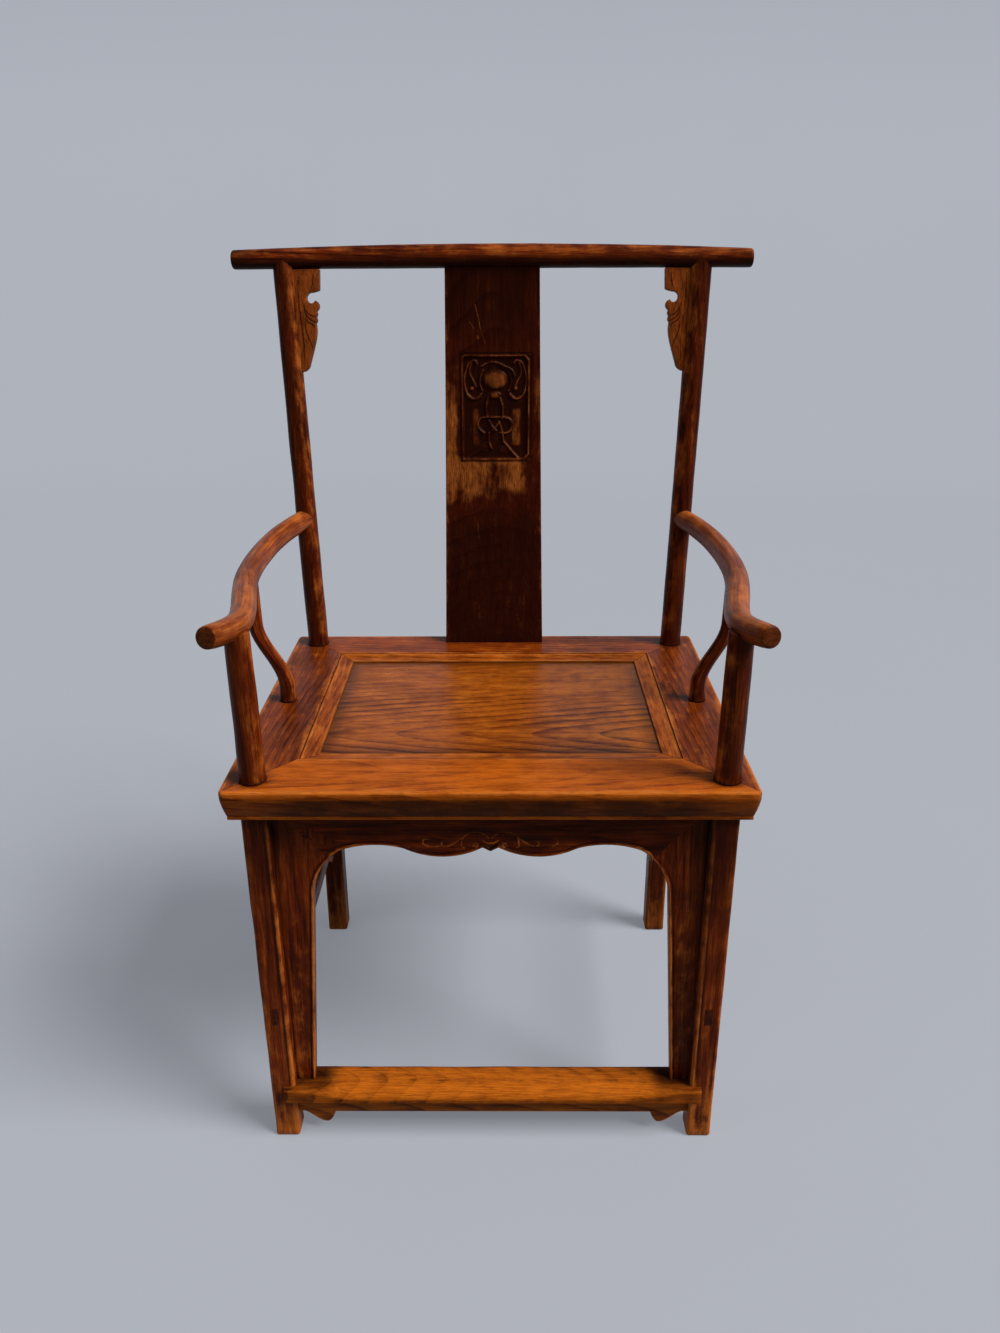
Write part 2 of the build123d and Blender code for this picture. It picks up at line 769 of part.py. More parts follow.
# ------------------------------------------------------------------ brackets under the crest rail
def bracket_plane():
    """Upright plane that leans back with the posts where the brackets sit."""
    low_x, low_y = back_post_centre(crest_underside - bracket_height)
    high_x, high_y = back_post_centre(crest_underside)
    up = Vector(0, high_y - low_y, bracket_height).normalized()
    normal = Vector(1, 0, 0).cross(up)
    return Plane(at(0, high_y, crest_underside), x_dir=(1, 0, 0), z_dir=normal)


def bracket_plate(side, thickness):
    """The bracket's leaf outline at one thickness, run out to the middle line of the post."""
    post_x = back_post_centre(crest_underside)[0]
    x = post_x - bracket_width
    with BuildPart() as plate:
        with BuildSketch(bracket_plane()):
            with BuildLine():
                corner = (x + 1, bracket_steps[0][0][1] + bracket_shoulder_rise)
                Line((post_x, 0), (x, 0))
                Line((x, 0), corner)
                for middle, end in bracket_steps:
                    there = (x + end[0], end[1])
                    ThreePointArc(corner, (x + middle[0], middle[1]), there)
                    corner = there
                Spline(*[(x + step[0], step[1]) for step in bracket_leaf])
                foot = (x + bracket_leaf[-1][0] + bracket_foot_run, -bracket_height)
                ThreePointArc(
                    (x + bracket_leaf[-1][0], bracket_leaf[-1][1]),
                    (x + bracket_heel[0], bracket_heel[1]),
                    foot,
                )
                Line(foot, (post_x, -bracket_height))
                Line((post_x, -bracket_height), (post_x, 0))
            make_face()
            if side < 0:
                mirror(about=Plane.YZ, mode=Mode.REPLACE)
        extrude(amount=thickness / 2, both=True)
    return plate.part


def inner_core(side, depth):
    """The core of a back post that a tongue of this depth doesn't reach."""
    low = crest_underside - 2 * bracket_height
    with BuildPart() as core:
        for step in range(post_stations):
            z = between(low, crest_underside + overrun, step / (post_stations - 1))
            x, y = back_post_centre(z)
            with BuildSketch(Plane(at(side * x, y, z))):
                Circle(back_post_top_radius - depth)
        loft(ruled=True)
    return core.part


def bracket_tongue(side, room):
    """Thin tongue along the edge of a bracket that stands in a groove of the back post."""
    tongue = bracket_plate(side, bracket_tongue_thickness + 2 * room)
    return tongue - inner_core(side, bracket_tongue_depth + room)


crest_shape = crest_blank()
post_shapes = {side: back_post_blank(side) for side in (-1, 1)}
arm_shapes = {side: arm_blank(side) for side in (-1, 1)}
front_leg_shapes = {side: front_leg_blank(side) for side in (-1, 1)}
back_leg_shapes = {side: back_leg_blank(side) for side in (-1, 1)}


# ------------------------------------------------------------------ posts
def front_post_shaft(side):
    """The round part of a front post, from the seat up to the middle of the arm."""
    head_z = arm_place(front_neck_y)[1]
    with BuildPart() as shaft:
        with BuildSketch(Plane(at(side * front_neck_x, front_neck_y, seat_height))):
            Circle(post_radius)
        with BuildSketch(Plane(at(side * front_neck_x, front_neck_y, head_z))):
            Circle(front_post_top_radius)
        loft(ruled=True)
    return shaft.part


def side_post_blank(side):
    """The slender side post: upright at both ends, swaying outward in between."""
    head_x, head_z = arm_place(side_post_y)
    with BuildPart() as blank:
        for step in range(side_post_stations):
            share = step / (side_post_stations - 1)
            z = between(seat_height, head_z, share)
            sway = min(1.0, max(0.0, (z - seat_height - side_post_sway_start) / side_post_sway_rise))
            ease = sway * sway * (3 - 2 * sway)
            x = between(side_post_foot_x, head_x, ease)
            with BuildSketch(Plane(at(side * x, side_post_y, z))):
                Circle(between(side_post_foot_radius, side_post_head_radius, share))
        loft(ruled=True)
    return blank.part


def soften_foot(leg):
    """Round the worn arris around the bottom of a foot."""
    return fillet(leg.edges().group_by(Axis.Z)[0], foot_softening)


for side in (-1, 1):
    front_shaft = front_post_shaft(side) - arm_shapes[side]
    back_shaft = post_shapes[side] - crest_shape
    slender_shaft = side_post_blank(side) - arm_shapes[side]
    tongue_groove = bracket_tongue(side, fit)
    tongue = bracket_tongue(side, 0) - crest_shape
    leaf = bracket_plate(side, bracket_thickness) - post_shapes[side] - crest_shape

    with BuildPart() as front_post:
        add(front_leg_shapes[side])
        soften_foot(front_post)
        add(stick(side * front_neck_x, front_neck_y, (seat_underside, seat_height), post_radius))
        add(front_shaft)
        add(front_post_tenon(side, 0))
        add(foot_rail_tenon(side, fit), mode=Mode.SUBTRACT)
        add(side_stretcher_tenons(side, fit), mode=Mode.SUBTRACT)
    keep(front_post, piece_name("front_post", side))

    with BuildPart() as back_post:
        add(back_leg_shapes[side])
        soften_foot(back_post)
        add(stick(side * back_neck_x, back_neck_y, (seat_underside, seat_height), post_radius))
        add(back_shaft)
        add(crest_tenon(side, 0))
        add(tongue_groove, mode=Mode.SUBTRACT)
        add(arm_back_tenon(side, fit), mode=Mode.SUBTRACT)
        add(side_stretcher_tenons(side, fit), mode=Mode.SUBTRACT)
        add(back_stretcher_tenon(side, fit), mode=Mode.SUBTRACT)
    keep(back_post, piece_name("back_post", side))

    with BuildPart() as side_post:
        add(slender_shaft)
        add(side_post_tenon(side, 0))
        add(side_post_head_tenon(side, 0))
    keep(side_post, piece_name("side_post", side))

    with BuildPart() as arm:
        add(arm_shapes[side] - post_shapes[side])
        add(arm_back_tenon(side, 0))
        add(front_post_tenon(side, fit), mode=Mode.SUBTRACT)
        add(side_post_head_tenon(side, fit), mode=Mode.SUBTRACT)
    keep(arm, piece_name("arm", side))

    with BuildPart() as crest_bracket:
        add(leaf)
        add(tongue)
    keep(crest_bracket, piece_name("crest_bracket", side))

# ------------------------------------------------------------------ crest rail and splat
with BuildPart() as crest_rail:
    add(crest_shape)
    for side in (-1, 1):
        add(crest_tenon(side, fit), mode=Mode.SUBTRACT)
    add(splat_shape, mode=Mode.SUBTRACT)
keep(crest_rail, "crest_rail")

with BuildPart() as splat:
    add(splat_shape)
keep(splat, "splat")


# ------------------------------------------------------------------ front apron and arch boards
def front_frame_plate():
    """The boards and apron of the front arch as one plate, with the bead along their edge."""
    face_y = arch_front_y - arch_bead_height
    back_y = arch_front_y + arch_thickness
    wide = front_foot_x
    opening = Plane(at(0, back_y + overrun, 0), x_dir=(1, 0, 0), z_dir=(0, -1, 0)) * arch_opening(0)
    hole = extrude(opening, amount=back_y - face_y + 2 * overrun)
    beaded = Plane(at(0, arch_front_y, 0), x_dir=(1, 0, 0), z_dir=(0, -1, 0)) * arch_opening(arch_bead_width)
    rim = extrude(beaded, amount=arch_bead_height)
    ground_x = (-wide - overrun, wide + overrun)
    ground = block(ground_x, (face_y - overrun, arch_front_y), (0, seat_height)) - rim
    with BuildPart() as plate:
        add(block((-wide, wide), (face_y, back_y), (foot_rail_top, seat_underside)))
        add(hole, mode=Mode.SUBTRACT)
        add(ground, mode=Mode.SUBTRACT)
    return plate.part


front_plate = front_frame_plate()


def mitre_side(side):
    """The upright prism outside one mitre of the front arch, where an arch board lies."""
    mitre_z = seat_underside - arch_mitre_drop
    mitre_x = arch_x(arch_mitre_width, mitre_z)
    top_x = mitre_x + arch_mitre_drop * arch_mitre_slope
    with BuildPart() as prism:
        with BuildSketch(Plane(at(0, arch_front_y, 0), x_dir=(1, 0, 0), z_dir=(0, -1, 0))):
            with BuildLine():
                Polyline(
                    (0, foot_rail_top - overrun),
                    (side * half_width, foot_rail_top - overrun),
                    (side * half_width, seat_underside),
                    (side * top_x, seat_underside),
                    (side * mitre_x, mitre_z),
                    (0, seat_underside - arch_spring_drop),
                    close=True,
                )
            make_face()
        extrude(amount=arch_thickness + overrun, both=True)
    return prism.part


mitre_prisms = {side: mitre_side(side) for side in (-1, 1)}

with BuildPart() as front_apron:
    add(front_plate)
    for side in (-1, 1):
        add(mitre_prisms[side], mode=Mode.SUBTRACT)
        add(front_leg_shapes[side], mode=Mode.SUBTRACT)
keep(front_apron, "front_apron")

for side in (-1, 1):
    with BuildPart() as arch_board:
        add(front_plate)
        add(mitre_prisms[side], mode=Mode.INTERSECT)
        add(front_leg_shapes[side], mode=Mode.SUBTRACT)
    keep(arch_board, piece_name("arch_board", side))

# ------------------------------------------------------------------ foot rail and its apron
with BuildPart() as foot_rail:
    reach_x = front_foot_x + half_leg - foot_rail_end_inset
    rail_x = (-reach_x, reach_x)
    add(block(rail_x, (foot_rail_front_y, foot_rail_back_y), (foot_rail_underside, foot_rail_top)))
    fillet(foot_rail.edges().filter_by(Axis.Z), foot_rail_corner_radius)
    for side in (-1, 1):
        inner_x = leg_centre(front_foot_x, front_neck_x, foot_rail_top) - half_leg
        behind = (leg_front_y, foot_rail_back_y + overrun)
        beside = (side * inner_x, side * half_width)
        add(block(beside, behind, (0, seat_underside)), mode=Mode.SUBTRACT)
        add(front_leg_shapes[side], mode=Mode.SUBTRACT)
        add(foot_rail_tenon(side, 0))
keep(foot_rail, "foot_rail")

with BuildPart() as foot_rail_apron:
    inner_x = leg_centre(front_foot_x, front_neck_x, foot_apron_bottom) - half_leg
    drop = [(inner_x - run, foot_apron_bottom + rise) for run, rise in foot_apron_drop]
    with BuildSketch(Plane(at(0, leg_front_y + foot_apron_setback, 0), x_dir=(1, 0, 0), z_dir=(0, -1, 0))):
        with BuildLine():
            Line((0, foot_rail_underside), (drop[0][0], foot_rail_underside))
            Line((drop[0][0], foot_rail_underside), drop[0])
            Line(drop[0], drop[1])
            ThreePointArc(drop[1], drop[2], drop[3])
            ThreePointArc(drop[3], drop[4], drop[5])
            Line(drop[5], (0, foot_apron_bottom))
            mirror(about=Plane.YZ)
        make_face()
    extrude(amount=-foot_apron_thickness)
    for side in (-1, 1):
        add(front_leg_shapes[side], mode=Mode.SUBTRACT)
keep(foot_rail_apron, "foot_rail_apron")


# ------------------------------------------------------------------ side and back aprons
def plain_apron(plane, half_length, height, end_height):
    """A plain apron whose lower edge rises from its two ends to a long level middle."""
    curve = (
        (half_length - apron_end_run, -end_height),
        (half_length - 2 * apron_end_run, -between(height, end_height, 1 / 3)),
        (half_length - end_height, -height),
    )
    with BuildPart() as apron:
        with BuildSketch(plane):
            with BuildLine():
                Line((0, 0), (half_length, 0))
                Line((half_length, 0), (half_length, -end_height))
                Line((half_length, -end_height), curve[0])
                ThreePointArc(*curve)
                Line(curve[2], (0, -height))
                mirror(about=Plane.YZ)
            make_face()
        extrude(amount=apron_thickness / 2, both=True)
    return apron.part


for side in (-1, 1):
    middle_x = (front_neck_x + back_neck_x) / 2
    middle_y = (front_neck_y + back_neck_y) / 2
    reach = (back_neck_y - front_neck_y) / 2
    plane = Plane(at(side * middle_x, middle_y, seat_underside), x_dir=(0, 1, 0), z_dir=(1, 0, 0))
    board = plain_apron(plane, reach, side_apron_height, side_apron_end_height)
    with BuildPart() as side_apron:
        add(board)
        add(front_leg_shapes[side], mode=Mode.SUBTRACT)
        add(back_leg_shapes[side], mode=Mode.SUBTRACT)
    keep(side_apron, piece_name("side_apron", side))

plane = Plane(at(0, back_neck_y, seat_underside), x_dir=(1, 0, 0), z_dir=(0, -1, 0))
board = plain_apron(plane, back_neck_x, back_apron_height, back_apron_end_height)
with BuildPart() as back_apron:
    add(board)
    for side in (-1, 1):
        add(back_leg_shapes[side], mode=Mode.SUBTRACT)
keep(back_apron, "back_apron")


# ------------------------------------------------------------------ stretchers
def stretcher_bar(plane, reach):
    """A stretcher between the middle lines of two legs, with its long edges rounded."""
    with BuildPart() as bar:
        with BuildSketch(plane):
            RectangleRounded(stretcher_width, stretcher_height, stretcher_rounding)
        extrude(amount=reach, both=True)
    return bar.part


for side in (-1, 1):
    front_y = leg_centre(front_foot_y, front_neck_y, side_stretcher_z)
    back_y = leg_centre(back_foot_y, back_neck_y, side_stretcher_z)
    middle = at(side * side_stretcher_x(), (front_y + back_y) / 2, side_stretcher_z)
    bar = stretcher_bar(Plane(middle, x_dir=(1, 0, 0), z_dir=(0, -1, 0)), (back_y - front_y) / 2)
    with BuildPart() as side_stretcher:
        add(bar)
        add(front_leg_shapes[side], mode=Mode.SUBTRACT)
        add(back_leg_shapes[side], mode=Mode.SUBTRACT)
        add(side_stretcher_tenons(side, 0))
    keep(side_stretcher, piece_name("side_stretcher", side))

leg_x = leg_centre(back_foot_x, back_neck_x, back_stretcher_z)
leg_y = leg_centre(back_foot_y, back_neck_y, back_stretcher_z)
middle = at(0, leg_y, back_stretcher_z)
bar = stretcher_bar(Plane(middle, x_dir=(0, 1, 0), z_dir=(1, 0, 0)), leg_x)
with BuildPart() as back_stretcher:
    add(bar)
    for side in (-1, 1):
        add(back_leg_shapes[side], mode=Mode.SUBTRACT)
        add(back_stretcher_tenon(side, 0))
keep(back_stretcher, "back_stretcher")
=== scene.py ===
"""An official hat chair in lacquered elm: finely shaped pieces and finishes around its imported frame.

Sizes are in millimetres, as on a joiner's drawing, and become metres where a mesh is written.
The sitter faces -Y, and left is the left-hand side seen from the front.
"""

import logging
import math
from dataclasses import dataclass, replace
from enum import Enum
from functools import cache, partial, reduce
from typing import Callable, Optional, Sequence

import bpy
import numpy as np
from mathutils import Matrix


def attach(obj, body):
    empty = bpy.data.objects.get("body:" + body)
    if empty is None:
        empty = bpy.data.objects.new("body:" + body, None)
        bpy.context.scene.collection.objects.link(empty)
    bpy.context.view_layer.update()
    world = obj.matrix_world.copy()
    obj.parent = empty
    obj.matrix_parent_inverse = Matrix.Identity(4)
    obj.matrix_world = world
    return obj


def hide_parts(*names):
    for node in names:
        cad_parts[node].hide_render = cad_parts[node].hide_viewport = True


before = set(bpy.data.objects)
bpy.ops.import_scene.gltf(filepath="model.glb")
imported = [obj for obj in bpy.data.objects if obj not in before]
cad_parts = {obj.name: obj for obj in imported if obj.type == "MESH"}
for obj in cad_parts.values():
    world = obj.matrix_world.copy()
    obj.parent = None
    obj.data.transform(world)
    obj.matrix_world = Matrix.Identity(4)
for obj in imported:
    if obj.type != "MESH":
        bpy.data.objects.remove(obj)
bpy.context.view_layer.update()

BODY = "root"
MM = 0.001
SEAT_CENTRE_Y = -10.0
SEAT_TOP = 516.0
SEAT_UNDERSIDE = 478.0
HALF_WIDTH = 295.0
HALF_DEPTH = 235.0
CREST_UNDERSIDE = 1031.0
WELD = 2e-6  # metres: points nearer than this are one
ROUND_DENT = 0.012  # depth of a plane's hollow, as a share of a bar's radius
SIDES = {-1: "left", 1: "right"}
RIGHT, BACK, UP = np.eye(3)
BEAD_MARKS = (0, 0.3, 0.8, 1.4, 2.0, 2.6, 3.2, 3.7, 4.1, 4.6, 5.2)  # points across a beaded edge

Array = np.ndarray
Colour = tuple[float, float, float]
Piece = bpy.types.Object
Socket = bpy.types.NodeSocket

log = logging.getLogger("hat_chair")


# ------------------------------------------------------------------ numbers and lines
def between(low: float, high: float, share: float) -> float:
    """The value at a share of the way from low to high."""
    return low + (high - low) * share


def eased(share: Array) -> Array:
    """A share between 0 and 1 that starts and stops softly."""
    share = np.clip(share, 0.0, 1.0)
    return share * share * (3 - 2 * share)


def hump(value: Array, middle: float, reach: float) -> Array:
    """1 at the middle, falling softly to 0 a few reaches away."""
    return np.exp(-(((value - middle) / reach) ** 2))


def most(*values: Array) -> Array:
    """The greatest of several values at each point."""
    return reduce(np.maximum, values)


def mound(value: Array, reach: float) -> Array:
    """1 at nothing, falling as a parabola to 0 a reach away."""
    return np.clip(1 - (value / reach) ** 2, 0, 1)


def rounding_loss(distance: Array, radius: float) -> Array:
    """How far a rounded edge falls away at this distance from it."""
    inside = np.clip(radius - distance, 0, radius)
    return radius - np.sqrt(np.maximum(radius**2 - inside**2, 0))


def ripple(places: Array, pitch: float, seed: int) -> Array:
    """The slight unevenness that hand planes leave, between about -1 and 1.

    Args:
        places: points in millimetres, with X, Y and Z on the last axis.
        pitch: usual distance from one hollow to the next.
        seed: picks one pattern, the same on every run.

    Returns:
        One value for each point.
    """
    dice = np.random.default_rng(seed)
    total = np.zeros(places.shape[:-1])
    for _ in range(6):
        direction = dice.normal(size=3)
        direction /= np.linalg.norm(direction)
        length = pitch * dice.uniform(0.6, 1.6)
        total += np.sin(places @ direction * (2 * np.pi / length) + dice.uniform(0, 6.28))
    return total / 4


def spline(stops: Sequence[Sequence[float]], count: int) -> Array:
    """Points along the natural cubic curve through the stops.

    Args:
        stops: the points that it passes through.
        count: how many points are wanted, evenly spaced by chord.

    Returns:
        An array of count points.
    """
    knots = np.asarray(stops, float)
    run = np.concatenate([[0], np.cumsum(np.linalg.norm(np.diff(knots, axis=0), axis=1))])
    size = len(knots)
    step = np.diff(run)
    matrix = np.eye(size)
    right = np.zeros_like(knots)
    for i in range(1, size - 1):
        matrix[i, i - 1 : i + 2] = step[i - 1], 2 * (step[i - 1] + step[i]), step[i]
        slope = (knots[i + 1] - knots[i]) / step[i] - (knots[i] - knots[i - 1]) / step[i - 1]
        right[i] = 6 * slope
    bend = np.linalg.solve(matrix, right)
    wanted = np.linspace(0, run[-1], count)
    spot = np.clip(np.searchsorted(run, wanted, side="right") - 1, 0, size - 2)
    width = step[spot][:, None]
    after = (wanted - run[spot])[:, None]
    before = width - after
    low, high = bend[spot], bend[spot + 1]
    cubic = (low * before**3 + high * after**3) / (6 * width)
    start = (knots[spot] / width - low * width / 6) * before
    finish = (knots[spot + 1] / width - high * width / 6) * after
    return cubic + start + finish


def arc(start: Sequence[float], middle: Sequence[float], end: Sequence[float], count: int) -> Array:
    """Points on the circle through three points of a plane, from the first to the last."""
    a, b, c = (np.asarray(p, float) for p in (start, middle, end))
    matrix = 2 * np.array([b - a, c - a])
    centre = np.linalg.solve(matrix, np.array([b @ b - a @ a, c @ c - a @ a]))
    turn = [math.atan2(*(p - centre)[::-1]) for p in (a, b, c)]
    full = 2 * math.pi
    ahead = (turn[2] - turn[0]) % full
    if (turn[1] - turn[0]) % full > ahead:
        ahead -= full
    angles = turn[0] + np.linspace(0, ahead, count)
    return centre + np.linalg.norm(a - centre) * np.stack([np.cos(angles), np.sin(angles)], -1)


def unit(runs: Array) -> Array:
    """The same directions, all of length 1."""
    return runs / np.linalg.norm(runs, axis=-1)[..., None]


def distance_to(places: Array, line: Array) -> Array:
    """Least distance from each place of a plane to a line of many short runs.

    Args:
        places: an array with two coordinates on the last axis.
        line: the corners of the line.

    Returns:
        One distance for each place.
    """
    flat = places.reshape(-1, 2)
    best = np.full(len(flat), 1e9)
    for start, end in zip(line[:-1], line[1:]):
        run = end - start
        share = np.clip(((flat - start) @ run) / max(run @ run, 1e-12), 0, 1)
        best = np.minimum(best, np.linalg.norm(flat - start - share[:, None] * run, axis=1))
    return best.reshape(places.shape[:-1])


def spaced(low: float, high: float, pitch: float) -> Array:
    """Even steps from low to high, none longer than the pitch."""
    return np.linspace(low, high, max(2, int(math.ceil(abs(high - low) / pitch)) + 1))


def xyz(x: Array, y: Array, z: Array) -> Array:
    """Coordinates of any matching shapes put together, with X, Y and Z on the last axis."""
    return np.stack(np.broadcast_arrays(x, y, z), -1)


# ------------------------------------------------------------------ meshes
OUTWARD = partial(bpy.ops.mesh.normals_make_consistent, inside=False)


@dataclass
class Skin:
    """Rings of points along a piece, with what its finish needs to know at each of them."""

    rows: Array  # (rings, points in a ring, 3), millimetres
    wear_and_highlight: Array | float = 0.0  # 1 where the lacquer has rubbed away, and where a highlight is painted on
    grime_and_shade: Array | float = 0.0  # 1 where dirty thick lacquer has gathered, and where shade is painted on
    member: Optional[Array] = None  # millimetres along and across a bent piece


def backed(front: Array, back: Array, wear_and_highlight: Array, grime_and_shade: Array, back_wear: float = 0.0) -> Skin:
    """Rings that run over a worked face and return over a plain clean back."""
    plain = np.zeros(back.shape[:2])
    return Skin(
        np.concatenate([front, back[:, ::-1]], axis=1),
        np.concatenate([wear_and_highlight, plain + back_wear], axis=1),
        np.concatenate([grime_and_shade, plain], axis=1),
    )


def deselect() -> None:
    """Leave nothing selected, so that an operator acts on the new piece alone."""
    bpy.ops.object.select_all(action="DESELECT")


def named(name: str) -> Piece:
    """The piece just added, named with its mesh."""
    piece = bpy.context.object
    piece.name = piece.data.name = name
    return piece


def move_points(piece: Piece, places: Array) -> None:
    """Put a piece's points at their places, in metres."""
    piece.data.vertices.foreach_set("co", places.astype(np.float32).ravel())


def paint(piece: Piece, label: str, values: Array, vectors: bool = False) -> None:
    """Write an attribute that a finish reads, one value or vector for each point."""
    layer = piece.data.attributes.new(label, "FLOAT_VECTOR" if vectors else "FLOAT", "POINT")
    layer.data.foreach_set("vector" if vectors else "value", values.astype(np.float32).ravel())


def worked(*steps: Callable[[], object]) -> None:
    """Take steps in edit mode, each on the whole of the active piece."""
    bpy.ops.object.mode_set(mode="EDIT")
    for step in steps:
        bpy.ops.mesh.select_all(action="SELECT")
        step()
    bpy.ops.object.mode_set(mode="OBJECT")


def rolled(name: str, skin: Skin, smooth: float = 40.0) -> Piece:
    """Roll a grid into a closed bar with flat ends.

    Args:
        name: the piece's name.
        skin: where the grid's points go.
        smooth: edges sharper than this many degrees stay crisp.

    Returns:
        The new object, with its place in its mesh.
    """
    rings, around = skin.rows.shape[:2]
    deselect()
    bpy.ops.mesh.primitive_grid_add(x_subdivisions=around, y_subdivisions=rings - 1, size=1)
    piece = named(name)
    seam = np.arange(around + 1) % around
    move_points(piece, skin.rows[:, seam] * MM)
    for label in ("wear_and_highlight", "grime_and_shade"):
        paint(piece, label, np.broadcast_to(getattr(skin, label), (rings, around))[:, seam])
    if skin.member is not None:
        paint(piece, "member", skin.member[:, seam] * MM, vectors=True)
    worked(
        partial(bpy.ops.mesh.remove_doubles, threshold=WELD),
        partial(bpy.ops.mesh.fill_holes, sides=0),
        OUTWARD,
    )
    bpy.ops.object.shade_smooth_by_angle(angle=math.radians(smooth))
    return piece


def plate(name: str, outline: Array, thickness: float, place: Callable[[Array], Array], bevel: float) -> Piece:
    """Saw a board to an outline and soften its arrises.

    Args:
        name: the piece's name.
        outline: its corners in its own plane, millimetres.
        thickness: how far it reaches from its face.
        place: turns points (along, up, into the board) into their place on the chair.
        bevel: width of the softened arris.

    Returns:
        The new object.
    """
    deselect()
    bpy.ops.mesh.primitive_circle_add(vertices=len(outline), radius=1, fill_type="NGON")
    piece = named(name)
    move_points(piece, xyz(*outline.T, 0.0) * MM)
    raised = {"value": (0, 0, thickness * MM)}
    worked(partial(bpy.ops.mesh.extrude_region_move, TRANSFORM_OT_translate=raised), OUTWARD)
    softened = piece.modifiers.new("arris", "BEVEL")
    softened.width = bevel * MM
    softened.segments = 3
    softened.limit_method = "ANGLE"
    softened.angle_limit = math.radians(50)
    bpy.ops.object.modifier_apply(modifier=softened.name)
    found = np.zeros(len(piece.data.vertices) * 3, np.float32)
    piece.data.vertices.foreach_get("co", found)
    local = found.reshape(-1, 3) / MM
    move_points(piece, place(local) * MM)
    near_face = np.minimum(local[:, 2], thickness - local[:, 2])
    paint(piece, "wear_and_highlight", np.clip(1 - near_face / bevel * 0.5, 0, 1))
    paint(piece, "grime_and_shade", np.zeros(len(local)))
    worked(OUTWARD)
    bpy.ops.object.shade_smooth_by_angle(angle=math.radians(35))
    return piece


def joined(name: str, pieces: Sequence[Piece]) -> Piece:
    """Make one object of several that are worked from one piece of wood."""
    deselect()
    for piece in pieces:
        piece.select_set(True)
    bpy.context.view_layer.objects.active = pieces[0]
    bpy.ops.object.join()
    return named(name)


def slab_marks(width: Array, near: Sequence[float], far: Sequence[float], pitch: float) -> Array:
    """Positions across a board, close together at its edges.

    Args:
        width: the board's width at each ring.
        near: distances from its first edge that are wanted.
        far: distances from its other edge, from the edge inward.
        pitch: spacing of the rest.

    Returns:
        An array (rings, marks).
    """
    middle = max(2, int((width.max() - near[-1] - far[-1]) / pitch))
    share = np.linspace(0, 1, middle + 1)[1:-1]
    low = np.broadcast_to(np.array(near), (len(width), len(near)))
    high = width[:, None] - np.array(far)[::-1][None, :]
    body = near[-1] + (width[:, None] - near[-1] - far[-1]) * share[None, :]
    return np.concatenate([low, body, high], axis=1)


def round_section(count: int) -> Array:
    """Angles round a turned piece."""
    return np.linspace(0, 2 * math.pi, count, endpoint=False)


QUARTER = (0, 12, 24, 33, 36.6, 40, 43.3, 46.7, 50, 53.4, 57, 66, 78)
SQUARE_ANGLES = np.radians([q + turn for turn in (0, 90, 180, 270) for q in QUARTER])


def square_reach(half: float, radius: float) -> Array:
    """Distance from the middle of a square bar with rounded corners to its surface, at SQUARE_ANGLES."""
    c, s = np.abs(np.cos(SQUARE_ANGLES)), np.abs(np.sin(SQUARE_ANGLES))
    flat = half / np.maximum(c, s)
    inner = half - radius
    root = (inner * (c + s)) ** 2 - (2 * inner**2 - radius**2)
    curved = inner * (c + s) + np.sqrt(np.maximum(root, 0))
    return np.where((flat * c > inner) & (flat * s > inner), curved, flat)


def bar(
    name: str, centres: Array, across: Array, upward: Array, radii: tuple[Array, Array], wear_and_highlight: Array, grime_and_shade: Array
) -> Piece:
    """A round bar along a line.

    Args:
        name: the piece's name.
        centres: points of its centre line.
        across: one direction of each ring, or of all of them.
        upward: the other.
        radii: half widths along those directions, at each point of the line.
        wear_and_highlight: worn places and painted highlights, one value for each point of each ring.
        grime_and_shade: the same for dirty thick lacquer and for painted shade.

    Returns:
        The new object, which also knows how far along and round each point lies.
    """
    turn = round_section(wear_and_highlight.shape[1])
    wide, high = radii[0][:, None] * np.cos(turn), radii[1][:, None] * np.sin(turn)
    offset = np.atleast_2d(across)[:, None] * wide[:, :, None] + np.atleast_2d(upward)[:, None] * high[:, :, None]
    along = np.concatenate([[0], np.cumsum(np.linalg.norm(np.diff(centres, axis=0), axis=1))])
    surface = centres[:, None] + offset
    rows = centres[:, None] + offset * (1 - ROUND_DENT * (1 + ripple(surface, 55, 5)))[:, :, None]
    return rolled(name, Skin(rows, wear_and_highlight, grime_and_shade, xyz(along[:, None], wide, high)), 50)


# ------------------------------------------------------------------ finishes
class Grain(Enum):
    """Which way the grain runs in a piece."""

    ACROSS = "left to right"
    DEEP = "front to back"
    UPRIGHT = "up"
    FOLLOWING = "along a bent member"


TURN = {Grain.ACROSS: (0, 0, 0), Grain.DEEP: (0, 0, -math.pi / 2), Grain.UPRIGHT: (0, math.pi / 2, 0)}

# Colour of dirty thick lacquer, which the grime mask also lays on as painted shade
DIRT_AND_SHADE = (0.0075, 0.0016, 0.0010)
LACQUER_TINT = (1.0, 0.55, 0.30, 1.0)
RING_POWER = 3.5
QUIET_REACH = 0.07  # metres over which the rings fade to the sides
WANDER = (3.0, 9.0, 9.0)  # bends of the grain in a metre along it and across it
PORE_STEP = (0.60, 0.70)
GROOVE_DEPTH = 0.0006  # metres
STREAKS = (7.0, 150.0, 4.0, 0.6)  # how many in a metre along the grain and across it, detail, roughness
LAYERS = (
    (2.5, 9.0, 1.0, 0.55),  # figure, where the rings show strongly
    (26.0, 820.0, 3.0, 0.65),  # fibres
    (75.0, 1700.0, 1.0, 0.5),  # pores
    (9.0, 20.0, 5.0, 0.62),  # clouds of patina
    (38.0, 60.0, 4.0, 0.6),  # smudges
)


